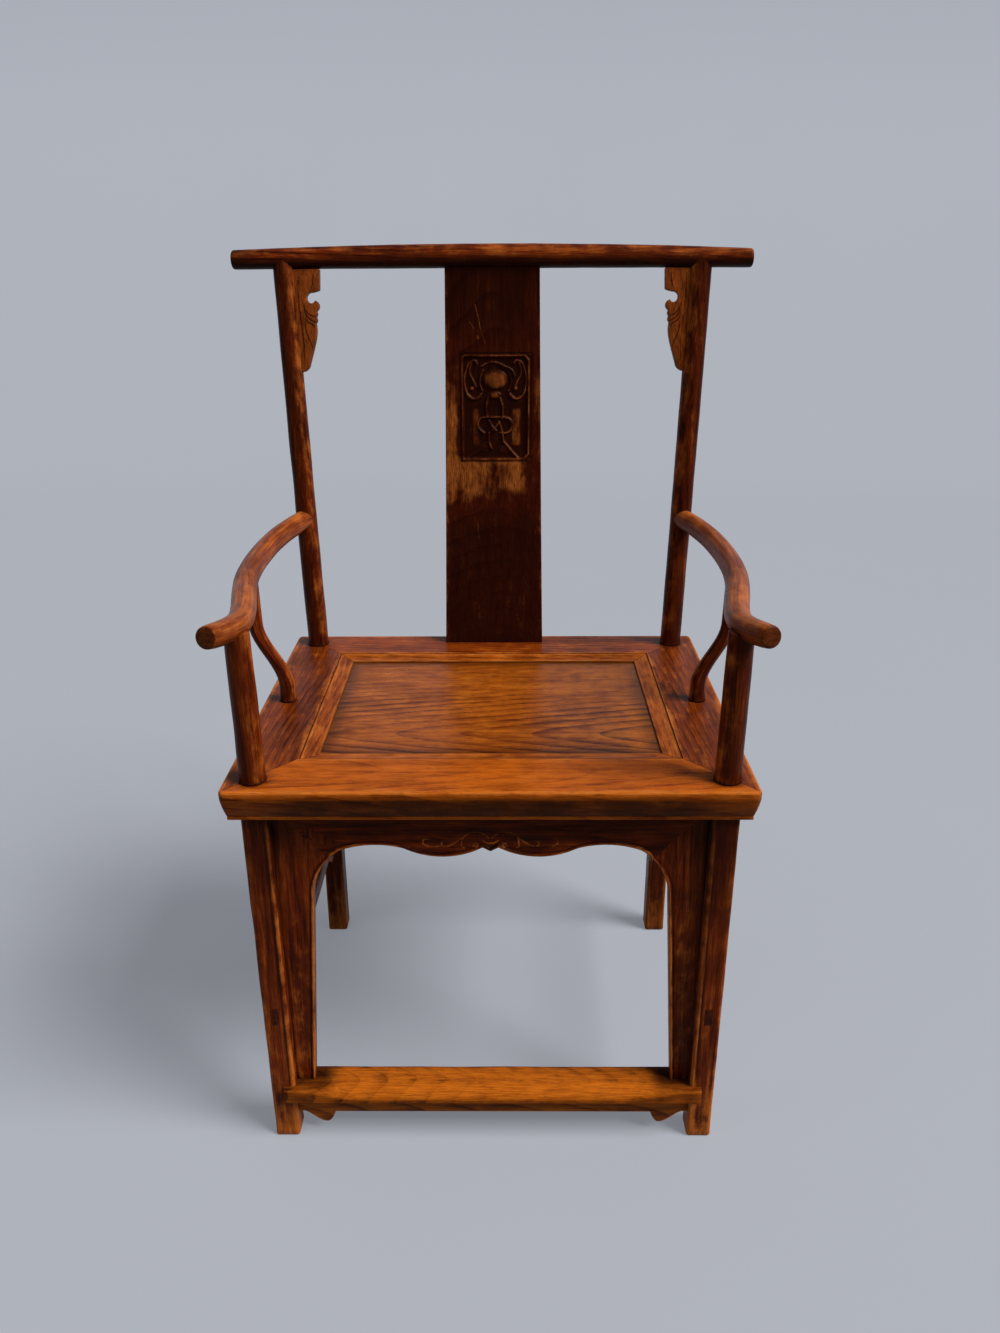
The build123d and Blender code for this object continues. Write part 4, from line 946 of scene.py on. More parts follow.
# ------------------------------------------------------------------ crest rail, splat, brackets
@dataclass
class Back:
    """The crest rail, the carved splat and the two leaf brackets."""

    posts: Posts
    crest_half_length: float = 342.0
    crest_height: float = 31.0
    crest_end_height: float = 24.0
    crest_depth: float = 28.0
    crest_end_depth: float = 25.0
    crest_bow: float = 12.0
    crest_rings: tuple[tuple[float, float], ...] = (  # how far before an end, and how much thinner there
        (3.0, 0.0),
        (1.7, 0.3),
        (0.8, 0.95),
        (0.2, 1.9),
        (0.0, 3.0),
        (0.0, 7.0),
    )
    splat_bottom_width: float = 143.0
    splat_top_width: float = 127.0
    splat_thickness: float = 12.0
    splat_setback: float = 6.0
    splat_bow: float = 14.0
    bracket_width: float = 47.8
    bracket_height: float = 131.0
    bracket_thickness: float = 11.0

    def crest_middle(self, x: Array) -> Array:
        """Depth of the crest rail's middle where it crosses x."""
        post_x, post_y = self.posts.back_centre(CREST_UNDERSIDE)
        return post_y + self.crest_bow * (1 - (x / post_x) ** 2) + SEAT_CENTRE_Y

    def crest(self) -> Piece:
        """The crest rail, bowed backward and thinner towards its rounded ends."""
        reach = self.crest_half_length
        before, loss = np.array(self.crest_rings).T
        ends = reach - before
        x = np.concatenate([-ends[::-1], spaced(-reach + 8, reach - 8, 7), ends])
        shrink = np.concatenate([loss[::-1], np.zeros(len(x) - 2 * len(loss)), loss])
        share = (np.abs(x) / reach) ** 2
        height = between(self.crest_height, self.crest_end_height, share)
        depth = between(self.crest_depth, self.crest_end_depth, share)
        centres = xyz(x, self.crest_middle(x), CREST_UNDERSIDE + height / 2)
        top = np.sin(round_section(40))
        wear_and_highlight = 0.05 + 0.42 * np.clip(top + 0.15, 0, 1) + np.zeros((len(x), 1))
        # Darker on the underside and towards the ends.
        grime_and_shade = 0.95 * np.clip(0.25 - 1.4 * top, 0, 1) + 0.30 * hump(np.abs(x), reach, 26)[:, None]
        radii = (depth / 2 - shrink, height / 2 - shrink)
        piece = bar("crest_rail_fine", centres, BACK, UP, radii, wear_and_highlight, np.clip(grime_and_shade, 0, 1))
        return fitted(piece, "elm_crest", "crest_rail")

    def splat_route(self) -> Array:
        """Points (Y, Z) along the splat's bow, from its foot to its head."""
        foot = (self.posts.back_neck[1] + self.splat_setback, SEAT_TOP - 8)
        head = (self.crest_middle(0.0) - SEAT_CENTRE_Y, CREST_UNDERSIDE + 9)
        middle = ((foot[0] + head[0]) / 2 + self.splat_bow, (foot[1] + head[1]) / 2)
        return arc(foot, middle, head, 600)

    def splat(self) -> Piece:
        """The splat: bowed and tapering, carved with a traditional knot under scrolls."""
        route = self.splat_route()
        carving = Cartouche()
        heights = np.concatenate(
            [
                spaced(route[0, 1], carving.low - 3, 6)[:-1],
                spaced(carving.low - 3, carving.high + 70, 0.85)[:-1],
                spaced(carving.high + 70, route[-1, 1], 6),
            ]
        )
        y = np.interp(heights, route[:, 1], route[:, 0])
        share = (heights - heights[0]) / (heights[-1] - heights[0])
        half = between(self.splat_bottom_width, self.splat_top_width, share) / 2
        fine = spaced(carving.left - 3, carving.right + 3, 0.85)
        inner_left = np.linspace(0, 1, 6)[:-1]
        edge = np.array([0, 0.3, 0.8, 1.5])
        half = half[:, None]
        left = np.concatenate([-half + edge, between(-half + 3, fine[0], inner_left)], axis=1)
        right = np.concatenate([between(fine[-1], half - 3, inner_left[1:]), half - 3, half - edge[::-1]], axis=1)
        x = np.concatenate([left, np.broadcast_to(fine, (len(y), len(fine))), right], axis=1)
        z = np.broadcast_to(heights[:, None], x.shape)
        gap = np.minimum(x + half, half - x)
        loss = rounding_loss(gap, 1.5)
        height = carving.relief(x, z)
        rough = 0.25 * (1 + ripple(xyz(x, 0.0, z), 60, 3)) * (gap > 1.5)
        front = -self.splat_thickness / 2 + loss - height + rough
        count = x.shape[1]
        pick = np.concatenate([np.arange(0, 8), np.arange(8, count - 8, 10), np.arange(count - 8, count)])
        back = self.splat_thickness / 2 - loss[:, pick]
        lean = np.gradient(y, heights)
        tilt = 1 / np.sqrt(1 + lean**2)

        def laid(px: Array, depth: Array, pz: Array) -> Array:
            """Points at a depth through the splat."""
            shifted = y[:, None] + depth * tilt[:, None]
            return xyz(px, shifted + SEAT_CENTRE_Y, pz - depth * (lean * tilt)[:, None])

        wear_and_highlight, grime_and_shade = carving.finish(x, z, height, gap)
        skin = backed(laid(x, front, z), laid(x[:, pick], back, z[:, pick]), wear_and_highlight, grime_and_shade, 0.15)
        return made("splat", "elm_splat", skin, 60, "splat_elm")

    def bracket_outline(self) -> Array:
        """The leaf outline from the top inner corner round to the post, as (inward to post, up)."""
        steps = (
            ((2.0, -26.7), (4.0, -27.5)),
            ((9.0, -28.9), (14.0, -29.5)),
            ((19.0, -36.0), (14.5, -42.5)),
            ((11.0, -42.5), (8.0, -39.0)),
            ((2.6, -45.0), (6.8, -53.0)),
            ((5.4, -56.5), (7.6, -60.0)),
            ((6.0, -64.0), (8.0, -68.0)),
        )
        corner = (1.0, -24.0)
        line = [(0.0, 0.0), corner]
        for middle, end in steps:
            line.extend(map(tuple, arc(corner, middle, end, 6)[1:]))
            corner = end
        leaf = spline(((8.0, -68.0), (7.4, -76.0), (11.0, -96.0), (18.4, -120.0)), 14)
        line.extend(map(tuple, leaf[1:]))
        line.extend(map(tuple, arc((18.4, -120.0), (22.0, -127.5), (30.0, -self.bracket_height), 6)[1:]))
        line += [(self.bracket_width, -self.bracket_height), (self.bracket_width, 0.0)]
        return np.array(line)

    def bracket(self, side: int) -> Piece:
        """One bracket, sawn to its leaf outline, with ribs and veins raised on both faces."""
        low, high = CREST_UNDERSIDE - self.bracket_height, CREST_UNDERSIDE
        low_y = self.posts.back_centre(low)[1]
        post_x, high_y = self.posts.back_centre(high)
        lean = (high_y - low_y) / self.bracket_height
        length = math.hypot(lean, 1)
        half = self.bracket_thickness / 2

        def place(local: Array) -> Array:
            """Points (inward to post, up, into the board) in their place on the chair."""
            x = side * (post_x - self.bracket_width + local[:, 0])
            depth = local[:, 2] - half
            y = high_y + local[:, 1] * lean / length + depth / length
            z = high + local[:, 1] / length - depth * lean / length
            return xyz(x, y + SEAT_CENTRE_Y, np.minimum(z, high + 2))

        name = f"crest_bracket_{SIDES[side]}"
        pieces = [plate(name + "_fine", self.bracket_outline(), self.bracket_thickness, place, 1.3)]
        ribs = (
            (((28, -5), (28.5, -42), (26, -75), (25, -100), (25.5, -118)), 0.9, 0.55),
            (((7, -60), (15, -57), (21, -50), (24, -42)), 0.65, 0.0),
            (((7, -67), (13, -64), (19, -58), (23, -50)), 0.65, 0.0),
            (((9, -73), (13, -69), (18, -66), (22, -61)), 0.65, 0.0),
            (((22, -68), (20, -82), (15, -94), (13, -103)), 0.55, 0.0),
            (((8, -5), (9, -16), (12, -25)), 0.5, 0.0),
        )
        for face in (0.0, self.bracket_thickness):
            for stops, radius, rubbed in ribs:
                line = place(xyz(*spline(stops, 40).T, face))
                run = unit(np.gradient(line, axis=0))
                out = unit(np.cross(run, BACK))
                deep = np.cross(out, run)
                taper = radius * np.sqrt(np.clip(np.sin(np.linspace(0.12, math.pi - 0.12, 40)), 0.05, 1))
                wear_and_highlight = np.full((40, 8), rubbed)
                grime_and_shade = np.full((40, 8), 0.0 if rubbed else 0.85)
                pieces.append(bar("rib", line, out, deep, (taper, taper), wear_and_highlight, grime_and_shade))
        return fitted(joined(name + "_fine", pieces), "elm_bracket", name)

    def build(self) -> None:
        """Make the crest rail, the splat and both brackets."""
        self.crest()
        self.splat()
        for side in SIDES:
            self.bracket(side)


@dataclass
class Cartouche:
    """The traditional ornament cut into the splat: a knotted ribbon under a disc and scrolls."""

    left: float = -44.0
    right: float = 51.0
    low: float = 778.0
    high: float = 921.0
    border: float = 2.6
    depth: float = 2.4
    knot_stops: int = 44  # points along each line of the ribbon
    scratch_depth: float = 0.35
    worn_sides: tuple = (  # how much, and middle and reach along X and Z
        (0.60, (-56, 7), (838, 62)),
        (0.42, (60, 5), (850, 60)),
    )
    worn_band: tuple[float, float] = (706.0, 790.0)  # heights of the rubbed band under the cartouche

    def at(self, u: float, v: float) -> tuple[float, float]:
        """A place in the cartouche: u from -1 to 1 across it, v from 0 at its foot to 1."""
        across = (self.left + self.right) / 2 + u * (self.right - self.left) / 2
        return across, self.low + v * (self.high - self.low)

    def strokes(self) -> list[tuple[Array, float, float]]:
        """The raised lines of the carving: points (X, Z), half width and height of each."""
        ribbon = ((-0.41, 0.889), (-0.24, 0.922), (-0.07, 0.933), (0.14, 0.913), (0.27, 0.891), (0.47, 0.856))
        left_loop = ((-0.34, 0.262), (-0.46, 0.295), (-0.525, 0.35), (-0.44, 0.402), (-0.24, 0.413), (0.0, 0.413))
        right_loop = ((0.0, 0.413), (0.24, 0.413), (0.42, 0.392), (0.485, 0.344), (0.44, 0.29), (0.30, 0.262))
        strokes = [
            ((*ribbon, (0.56, 0.80)), 1.5, 0.8),
            (((-0.22, 0.60), (-0.26, 0.54), (-0.275, 0.48), (-0.25, 0.415)), 1.6, 0.95),
            (((0.13, 0.595), (0.19, 0.54), (0.215, 0.48), (0.20, 0.40)), 1.8, 0.95),
            (left_loop, 1.7, 1.0),
            ((*right_loop, (0.13, 0.267)), 1.7, 1.0),
            (((-0.20, 0.385), (-0.14, 0.345), (-0.06, 0.312), (0.02, 0.285)), 1.4, 0.9),
            (((0.10, 0.37), (0.155, 0.32), (0.20, 0.262), (0.237, 0.178)), 1.5, 1.0),
            (((-0.10, 0.285), (0.0, 0.32), (0.09, 0.36)), 1.2, 0.8),
            (((-0.205, 0.262), (-0.215, 0.20), (-0.17, 0.15), (-0.12, 0.112)), 1.6, 0.9),
            (((0.237, 0.178), (0.33, 0.142), (0.45, 0.095), (0.66, 0.022)), 1.8, 0.95),
            (((-0.24, 0.178), (-0.42, 0.11), (-0.66, 0.055), (-0.86, 0.025)), 1.3, 0.5),
        ]
        for stops, width in (
            (((0.53, 0.915), (0.61, 0.947), (0.73, 0.935), (0.83, 0.88), (0.905, 0.775), (0.87, 0.675)), 1.7),
            (((0.87, 0.675), (0.75, 0.605), (0.58, 0.588), (0.42, 0.635)), 2.0),
            (((0.69, 0.925), (0.75, 0.835), (0.66, 0.767), (0.57, 0.70)), 1.5),
            (((0.36, 0.86), (0.43, 0.80), (0.45, 0.73), (0.38, 0.66)), 1.1),
        ):
            strokes += [([(side * u, v) for u, v in stops], width, 0.85) for side in SIDES]
        count = self.knot_stops
        return [(spline([self.at(u, v) for u, v in stops], count), width, lift) for stops, width, lift in strokes]

    def frame_gap(self, x: Array, z: Array) -> Array:
        """Distance inward from the border, whose upper corners and lower right one are cut off."""
        gap = reduce(np.minimum, (x - self.left, self.right - x, z - self.low, self.high - z))
        for corner_x, corner_z, size in (
            (self.left, self.high, 4.0),
            (self.right, self.high, 7.0),
            (self.right, self.low, 8.0),
        ):
            gap = np.minimum(gap, (np.abs(x - corner_x) + np.abs(z - corner_z) - size) / math.sqrt(2))
        return gap

    def relief(self, x: Array, z: Array) -> Array:
        """Height of the surface over the splat's face: the ground is sunk and the ornament stands in it."""
        gap = self.frame_gap(x, z)
        places = np.stack([x, z], -1)
        ground = -self.depth * eased((gap - self.border) / 1.4) - 0.8 * hump(gap, -1.6, 1.2)
        rim = 0.7 * np.sqrt(mound(gap - self.border / 2, self.border / 2))
        height = ground + rim
        near = gap > -4
        for line, width, lift in self.strokes():
            far = np.full(x.shape, 99.0)
            far[near] = distance_to(places[near], line)
            dome = np.sqrt(mound(far, width))
            raised = -self.depth + dome * (self.depth * lift + 0.25)
            height = np.where((far < width) & (gap > 0.6), np.maximum(height, raised), height)
        for u, v, reach_x, reach_z, power in (
            (0.0, 0.765, 18.0, 13.6, 4),
            (-0.017, 0.622, 9.3, 5.6, 2),
            (0.585, 0.683, 3.4, 3.4, 2),
            (-0.69, 0.683, 3.4, 3.4, 2),
            (-0.34, 0.12, 8.0, 7.0, 2),
            (0.24, 0.10, 8.0, 6.5, 2),
        ):
            middle_x, middle_z = self.at(u, v)
            spot = np.hypot((x - middle_x) / reach_x, (z - middle_z) / reach_z)
            pillow = (self.depth + 0.2) * np.sqrt(np.clip(1 - spot**power, 0, 1)) * (0.45 if v < 0.2 else 1.0)
            height = np.where(spot < 1, np.maximum(height, pillow - self.depth), height)
        for line, width in self.scratches():
            height = height - self.scratch_depth * np.clip(1 - distance_to(places, line) / width, 0, 1)
        return height

    def scratches(self) -> list[tuple[Array, float]]:
        """Old scratches over the cartouche: points (X, Z) and half width."""
        return [
            (spline(((-23.5, 986), (-18.5, 966), (-15.0, 950), (-10.0, 936)), 30), 0.75),
            (spline(((-31, 964), (-27, 958), (-24, 953)), 16), 0.65),
            (spline(((-21, 946), (-19.5, 942)), 6), 0.8),
            (spline(((-23.0, 690), (-21.5, 668)), 10), 0.5),
            (spline(((34.0, 560), (36.5, 545)), 10), 0.5),
        ]

    def finish(self, x: Array, z: Array, height: Array, gap: Array) -> tuple[Array, Array]:
        """Worn and grimy places over the whole front of the splat, and two strips of painted light in the sunk ground.

        Args:
            x: across the splat.
            z: height.
            height: the carving's height over the face.
            gap: distance from the splat's edge.

        Returns:
            Wear, which holds the two painted highlights in the sunk ground, and grime.
        """
        border_gap = self.frame_gap(x, z)
        inside = eased((border_gap - self.border) / 1.0)
        wear_and_highlight = 0.06 + 0.30 * hump(gap, 0.8, 2.5)
        for strength, across, up in self.worn_sides:
            wear_and_highlight = wear_and_highlight + strength * hump(x, *across) * hump(z, *up)
        low, high = self.worn_band
        band = eased((z - low - 0.09 * (x + 62)) / 30) * eased((high - z) / 10) * (border_gap < 0)
        lobes = 0.24 * hump(x, -30, 11) + 0.30 * hump(x, 33, 9) + 0.15 * hump(x, -58, 6)
        wear_and_highlight = wear_and_highlight + band * eased((58 - x) / 22) * (0.44 + lobes)
        wear_and_highlight = wear_and_highlight + 0.26 * eased((-48 - x) / 7) * eased((z - 715) / 25) * eased((930 - z) / 120) * (1 - band)
        standing = np.clip((height + self.depth) / self.depth, 0, 1)
        wear_and_highlight = np.where(inside > 0.5, 0.08 + 0.46 * standing**2, wear_and_highlight)
        rim = mound(border_gap - self.border / 2, self.border / 2)
        wear_and_highlight = np.maximum(wear_and_highlight, 0.58 * rim)
        # Two upright strips of the sunk ground beside the middle are painted light in the worn colour, as a pool of
        # light falling on the ground, and are kept clear of its dark.
        tall = eased((z - 795) / 6) * eased((852 - z) / 6)
        lit_strip_left = 0.75 * eased((x + 30) / 4) * eased((-17 - x) / 4)
        lit_strip_right = eased((x - 25) / 3) * eased((40 - x) / 3)
        lit_strips = (lit_strip_left + lit_strip_right) * tall * (inside > 0.5) * (standing < 0.3)
        wear_and_highlight = np.maximum(wear_and_highlight, 0.52 * lit_strips)
        for line, width in self.scratches():
            wear_and_highlight = np.maximum(wear_and_highlight, 0.85 * np.clip(1.4 - distance_to(np.stack([x, z], -1), line) / width, 0, 1))
        lower = eased((722 - z) / 50)
        upper = eased((z - 925) / 60) * (1 - hump(x, 58, 16))
        grime_and_shade = 0.62 * np.maximum(lower, 0.8 * upper) * (1 - 0.7 * hump(gap, 1, 5))
        grime_and_shade = np.where(inside > 0.5, 0.70 * (1 - standing) * (1 - lit_strips), grime_and_shade)
        grime_and_shade = np.maximum(grime_and_shade, 0.9 * hump(border_gap, -1.6, 1.3))
        grime_and_shade = grime_and_shade * (1 - np.clip(wear_and_highlight - 0.6, 0, 0.4) * 2)
        grime_and_shade = np.maximum(grime_and_shade, 0.85 * hump(z, SEAT_TOP + 1, 3))
        return np.clip(wear_and_highlight, 0, 1), np.clip(grime_and_shade, 0, 1)


# ------------------------------------------------------------------ seat
@dataclass
class Seat:
    """The mitred seat frame with its moulded edge, the floating panel and the strips that hold it."""

    posts: Posts
    front_width: float = 78.0
    back_width: float = 70.0
    side_width: float = 74.0
    corner_radius: float = 7.0
    top_radius: float = 3.5
    roll_in: float = 6.0
    roll_low: float = 483.0  # the moulded edge bulges out between these heights
    roll_middle: tuple[float, float] = (2.0, 495.0)
    roll_high: float = 505.0
    edge_reach: float = 8.0  # how far in from the outside the moulded edge goes
    ledge: float = 24.0
    ledge_top: float = 499.0
    panel_gap: float = 0.8
    panel_top: float = 510.0
    moulding_width: float = 20.0
    moulding_inner_height: float = 1.8
    moulding_drop: float = 0.5
    groove: float = 0.5

    def profile(self, width: float) -> tuple[Array, Array, Array]:
        """Section of a rail.

        Args:
            width: its width at the top.

        Returns:
            Points (in from the outer edge, height), their wear, and their grime, which paints shade over the moulded
            outer face.
        """
        roll = arc((self.roll_in, self.roll_low), self.roll_middle, (0.0, self.roll_high), 9)
        corner = [
            (self.top_radius * (1 - math.cos(a)), SEAT_TOP - self.top_radius * (1 - math.sin(a)))
            for a in np.linspace(0, math.pi / 2, 6)
        ]
        top = [(d, SEAT_TOP) for d in spaced(9, width - 7, 6)]
        inner = [(width - 1.2, SEAT_TOP), (width - 0.3, SEAT_TOP - 0.3)]
        inner += [(width, SEAT_TOP - 1.2), (width, self.ledge_top)]
        under = [(width + self.ledge, self.ledge_top), (width + self.ledge, SEAT_UNDERSIDE)]
        under += [(width, SEAT_UNDERSIDE), (width / 2, SEAT_UNDERSIDE), (self.roll_in + 0.6, SEAT_UNDERSIDE)]
        under += [(self.roll_in, SEAT_UNDERSIDE + 0.7), (self.roll_in, 481.8), (self.roll_in + 0.5, 482.5)]
        section = np.array([*map(tuple, roll), *corner, *top, *inner, *under])
        d, z = section.T

        def near(depth: float, height: float, reach: float) -> Array:
            """1 at a point of the section, falling softly round it."""
            return hump(np.hypot(d - depth, z - height), 0, reach)

        wear_and_highlight = 0.95 * near(1.2, SEAT_TOP - 1.2, 2.6) + 0.45 * near(width - 0.5, SEAT_TOP - 0.5, 1.8)
        wear_and_highlight = wear_and_highlight + 0.50 * near(self.roll_in, SEAT_UNDERSIDE + 2, 3.0) + 0.22 * hump(z, SEAT_TOP, 0.5)
        edge = d < self.edge_reach
        # The moulded outer face of a rail and the edge below it are painted dark as shade, for they turn down and
        # outward, away from the light above; a dark line also runs in the crease at the foot of the roll.
        grime_and_shade = 0.85 * near(self.roll_in, self.roll_low - 0.2, 1.6) + 0.88 * (z < 511) * (z > 484) * edge
        grime_and_shade = np.maximum(grime_and_shade, 0.50 * edge * (z <= 484))
        return section, np.clip(wear_and_highlight, 0, 1), np.clip(grime_and_shade, 0, 1)

    def turned(self, steps: Array, d: Array, half: float, reach: Array, length: float) -> tuple[Array, Array]:
        """Lead the rings of a rail round the frame's rounded corners.

        Args:
            steps: places along the rail, -1 and 1 at its mitres.
            d: how far in from the outer edge each point of the section lies.
            half: from the middle of the seat to the rail's outer edge.
            reach: half the rail's length at each point.
            length: half its length along the outer edge.

        Returns:
            How far along the rail each point lies, and how far out.
        """
        straight = length - self.corner_radius
        curve = self.corner_radius - d
        outer = d < self.corner_radius
        travel = np.abs(steps) * np.where(outer, straight + curve * math.pi / 4, reach)
        rounded = outer & (travel > straight)
        angle = np.where(rounded, (travel - straight) / np.maximum(curve, 1e-6), 0)
        run = np.sign(steps) * np.where(rounded, straight + np.maximum(curve, 0) * np.sin(angle), travel)
        return run, np.where(rounded, half - self.corner_radius + curve * np.cos(angle), half - d)

    def rail(self, name: str, across: bool, sign: int) -> Piece:
        """One rail of the frame, mitred at both ends.

        Args:
            name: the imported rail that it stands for.
            across: whether it runs from left to right.
            sign: -1 for the front or left rail, 1 for the back or right one.

        Returns:
            The finished rail.
        """
        if across:
            width = self.front_width if sign < 0 else self.back_width
            half, reach, mates = HALF_DEPTH, HALF_WIDTH, (self.side_width, self.side_width)
        else:
            width = self.side_width
            half, reach, mates = HALF_WIDTH, HALF_DEPTH, (self.front_width, self.back_width)
        section, wear_and_highlight, grime_and_shade = self.profile(width)
        d, level = section.T
        near_end = np.array([0.986, 0.994, 0.9985, 1])
        steps = np.concatenate([-near_end[::-1], np.linspace(-0.97, 0.97, 66), near_end])[:, None]
        run, out = self.turned(steps, d, half, reach - d * np.where(steps < 0, *mates) / width, reach)
        last = np.abs(steps) == 1
        z = level - self.groove * (last & (level > SEAT_TOP - 1.3))
        rows = xyz(*((run, sign * out) if across else (sign * out, run)), z) + SEAT_CENTRE_Y * BACK
        dent = 0.22 * (1 + ripple(rows, 80, 20 + sign + 4 * across))
        rows[:, :, 2] -= np.where(level > SEAT_TOP - 0.1, dent, 0)
        wear_and_highlight = np.broadcast_to(wear_and_highlight, run.shape)
        grime_and_shade = np.maximum(grime_and_shade, 0.9 * last)
        if across and sign < 0:
            # Towards its ends the front rail's face is rubbed lighter and its painted shade thins.
            face = (level < 512) & (level > 480) & (d < self.edge_reach)
            ends = eased((np.abs(rows[:, :, 0]) - 205) / 60)
            wear_and_highlight = np.where(face, np.maximum(wear_and_highlight, 0.42 * ends), wear_and_highlight)
            grime_and_shade = np.where(face, grime_and_shade * (1 - 0.40 * ends), grime_and_shade)
        for post_x, post_y in (self.posts.front_neck, self.posts.back_neck):
            away = np.hypot(np.abs(rows[:, :, 0]) - post_x, rows[:, :, 1] - post_y - SEAT_CENTRE_Y)
            grime_and_shade = np.maximum(grime_and_shade, 0.7 * hump(away, 15, 4.5) * (level > SEAT_TOP - 1))
        wood = f"elm_{name}" if across else "elm_rail_deep"
        return made(name, wood, Skin(rows, wear_and_highlight, np.clip(grime_and_shade, 0, 1)), 35)

    def opening(self) -> tuple[float, float, float]:
        """Half width and the front and back edges of the opening that the panel fills."""
        return (
            HALF_WIDTH - self.side_width - self.panel_gap,
            -HALF_DEPTH + self.front_width + self.panel_gap,
            HALF_DEPTH - self.back_width - self.panel_gap,
        )

    def moulding(self, name: str, across: bool, sign: int) -> Piece:
        """One mitred strip, sloping with a slight hollow from the frame down to the panel."""
        half_x, front_y, back_y = self.opening()
        half = half_x if across else (back_y - front_y) / 2
        middle = 0.0 if across else (back_y + front_y) / 2
        edge = (front_y if sign < 0 else back_y) if across else sign * half_x
        height = SEAT_TOP - self.moulding_drop - self.panel_top
        width = self.moulding_width
        d = np.concatenate([[0.0, 0.5], spaced(2, width - 2, 2), [width - 0.6, width]])
        slope = between(height, self.moulding_inner_height, d / width)
        top = slope - 1.4 * np.sin(math.pi * d / width) * 0.9
        top[[0, -1]] -= 0.5
        d, level = np.append(d, [width, 0.0]), np.append(self.panel_top + top, [self.panel_top, self.panel_top])
        steps = np.concatenate([[-1, -0.995], np.linspace(-0.98, 0.98, 60), [0.995, 1]])[:, None]
        last = np.abs(steps) == 1
        run, out = steps * (half - d) + middle, edge - sign * d
        z = level - 0.3 * (last & (level > self.panel_top + 0.3))
        rows = xyz(*((run, out) if across else (out, run)), z) + SEAT_CENTRE_Y * BACK
        wear_and_highlight = np.broadcast_to(0.35 + 0.4 * hump(d, 1, 2.5) + 0.3 * hump(d, width - 1, 2), run.shape)
        grime_and_shade = np.where(last, 0.9, np.clip(0.9 * hump(d, 0, 0.8) + 0.5 * hump(d, width, 0.8), 0, 1))
        return made(name, "elm_moulding_across" if across else "elm_moulding_deep", Skin(rows, wear_and_highlight, grime_and_shade), 35)

    def panel(self) -> Piece:
        """The floating panel, a little uneven, darker along its edges."""
        half_x, front_y, back_y = self.opening()
        half_x, front_y, back_y = half_x - 0.2, front_y + 0.2, back_y - 0.2
        y = spaced(front_y, back_y, 5.0)
        x, y = np.meshgrid(spaced(-half_x, half_x, 5.0), y, indexing="ij")
        places = xyz(x, y, 0.0)
        sunk = 0.25 * (1 + ripple(places, 120, 31)) + 0.12 * (1 + ripple(places, 35, 32))
        ends = [0, y.shape[1] - 1]
        inner = self.moulding_width + 1
        rim = reduce(np.minimum, (half_x - inner - np.abs(x), y - front_y - inner, back_y - inner - y))
        # Lighter towards the right: that rise is a painted highlight for the reflection of the light on the right of
        # the panel; the rest is rubbing that varies at random.
        wear_and_highlight = 0.28 + 0.12 * ripple(places, 160, 33) + 0.32 * eased((x - 30) / 170)
        top = xyz(x, y + SEAT_CENTRE_Y, self.panel_top - sunk)
        under = xyz(x[:, ends], y[:, ends] + SEAT_CENTRE_Y, self.ledge_top)
        skin = backed(top, under, wear_and_highlight, 0.66 * hump(rim, 0, 15))
        return made("seat_panel", "elm_panel", skin, 35, "panel_elm")

    def build(self) -> None:
        """Make the frame, the strips and the panel."""
        for across, sign, where in ((True, -1, "front"), (True, 1, "back"), (False, -1, "left"), (False, 1, "right")):
            self.rail("seat_rail_" + where, across, sign)
            self.moulding("seat_moulding_" + where, across, sign)
        self.panel()


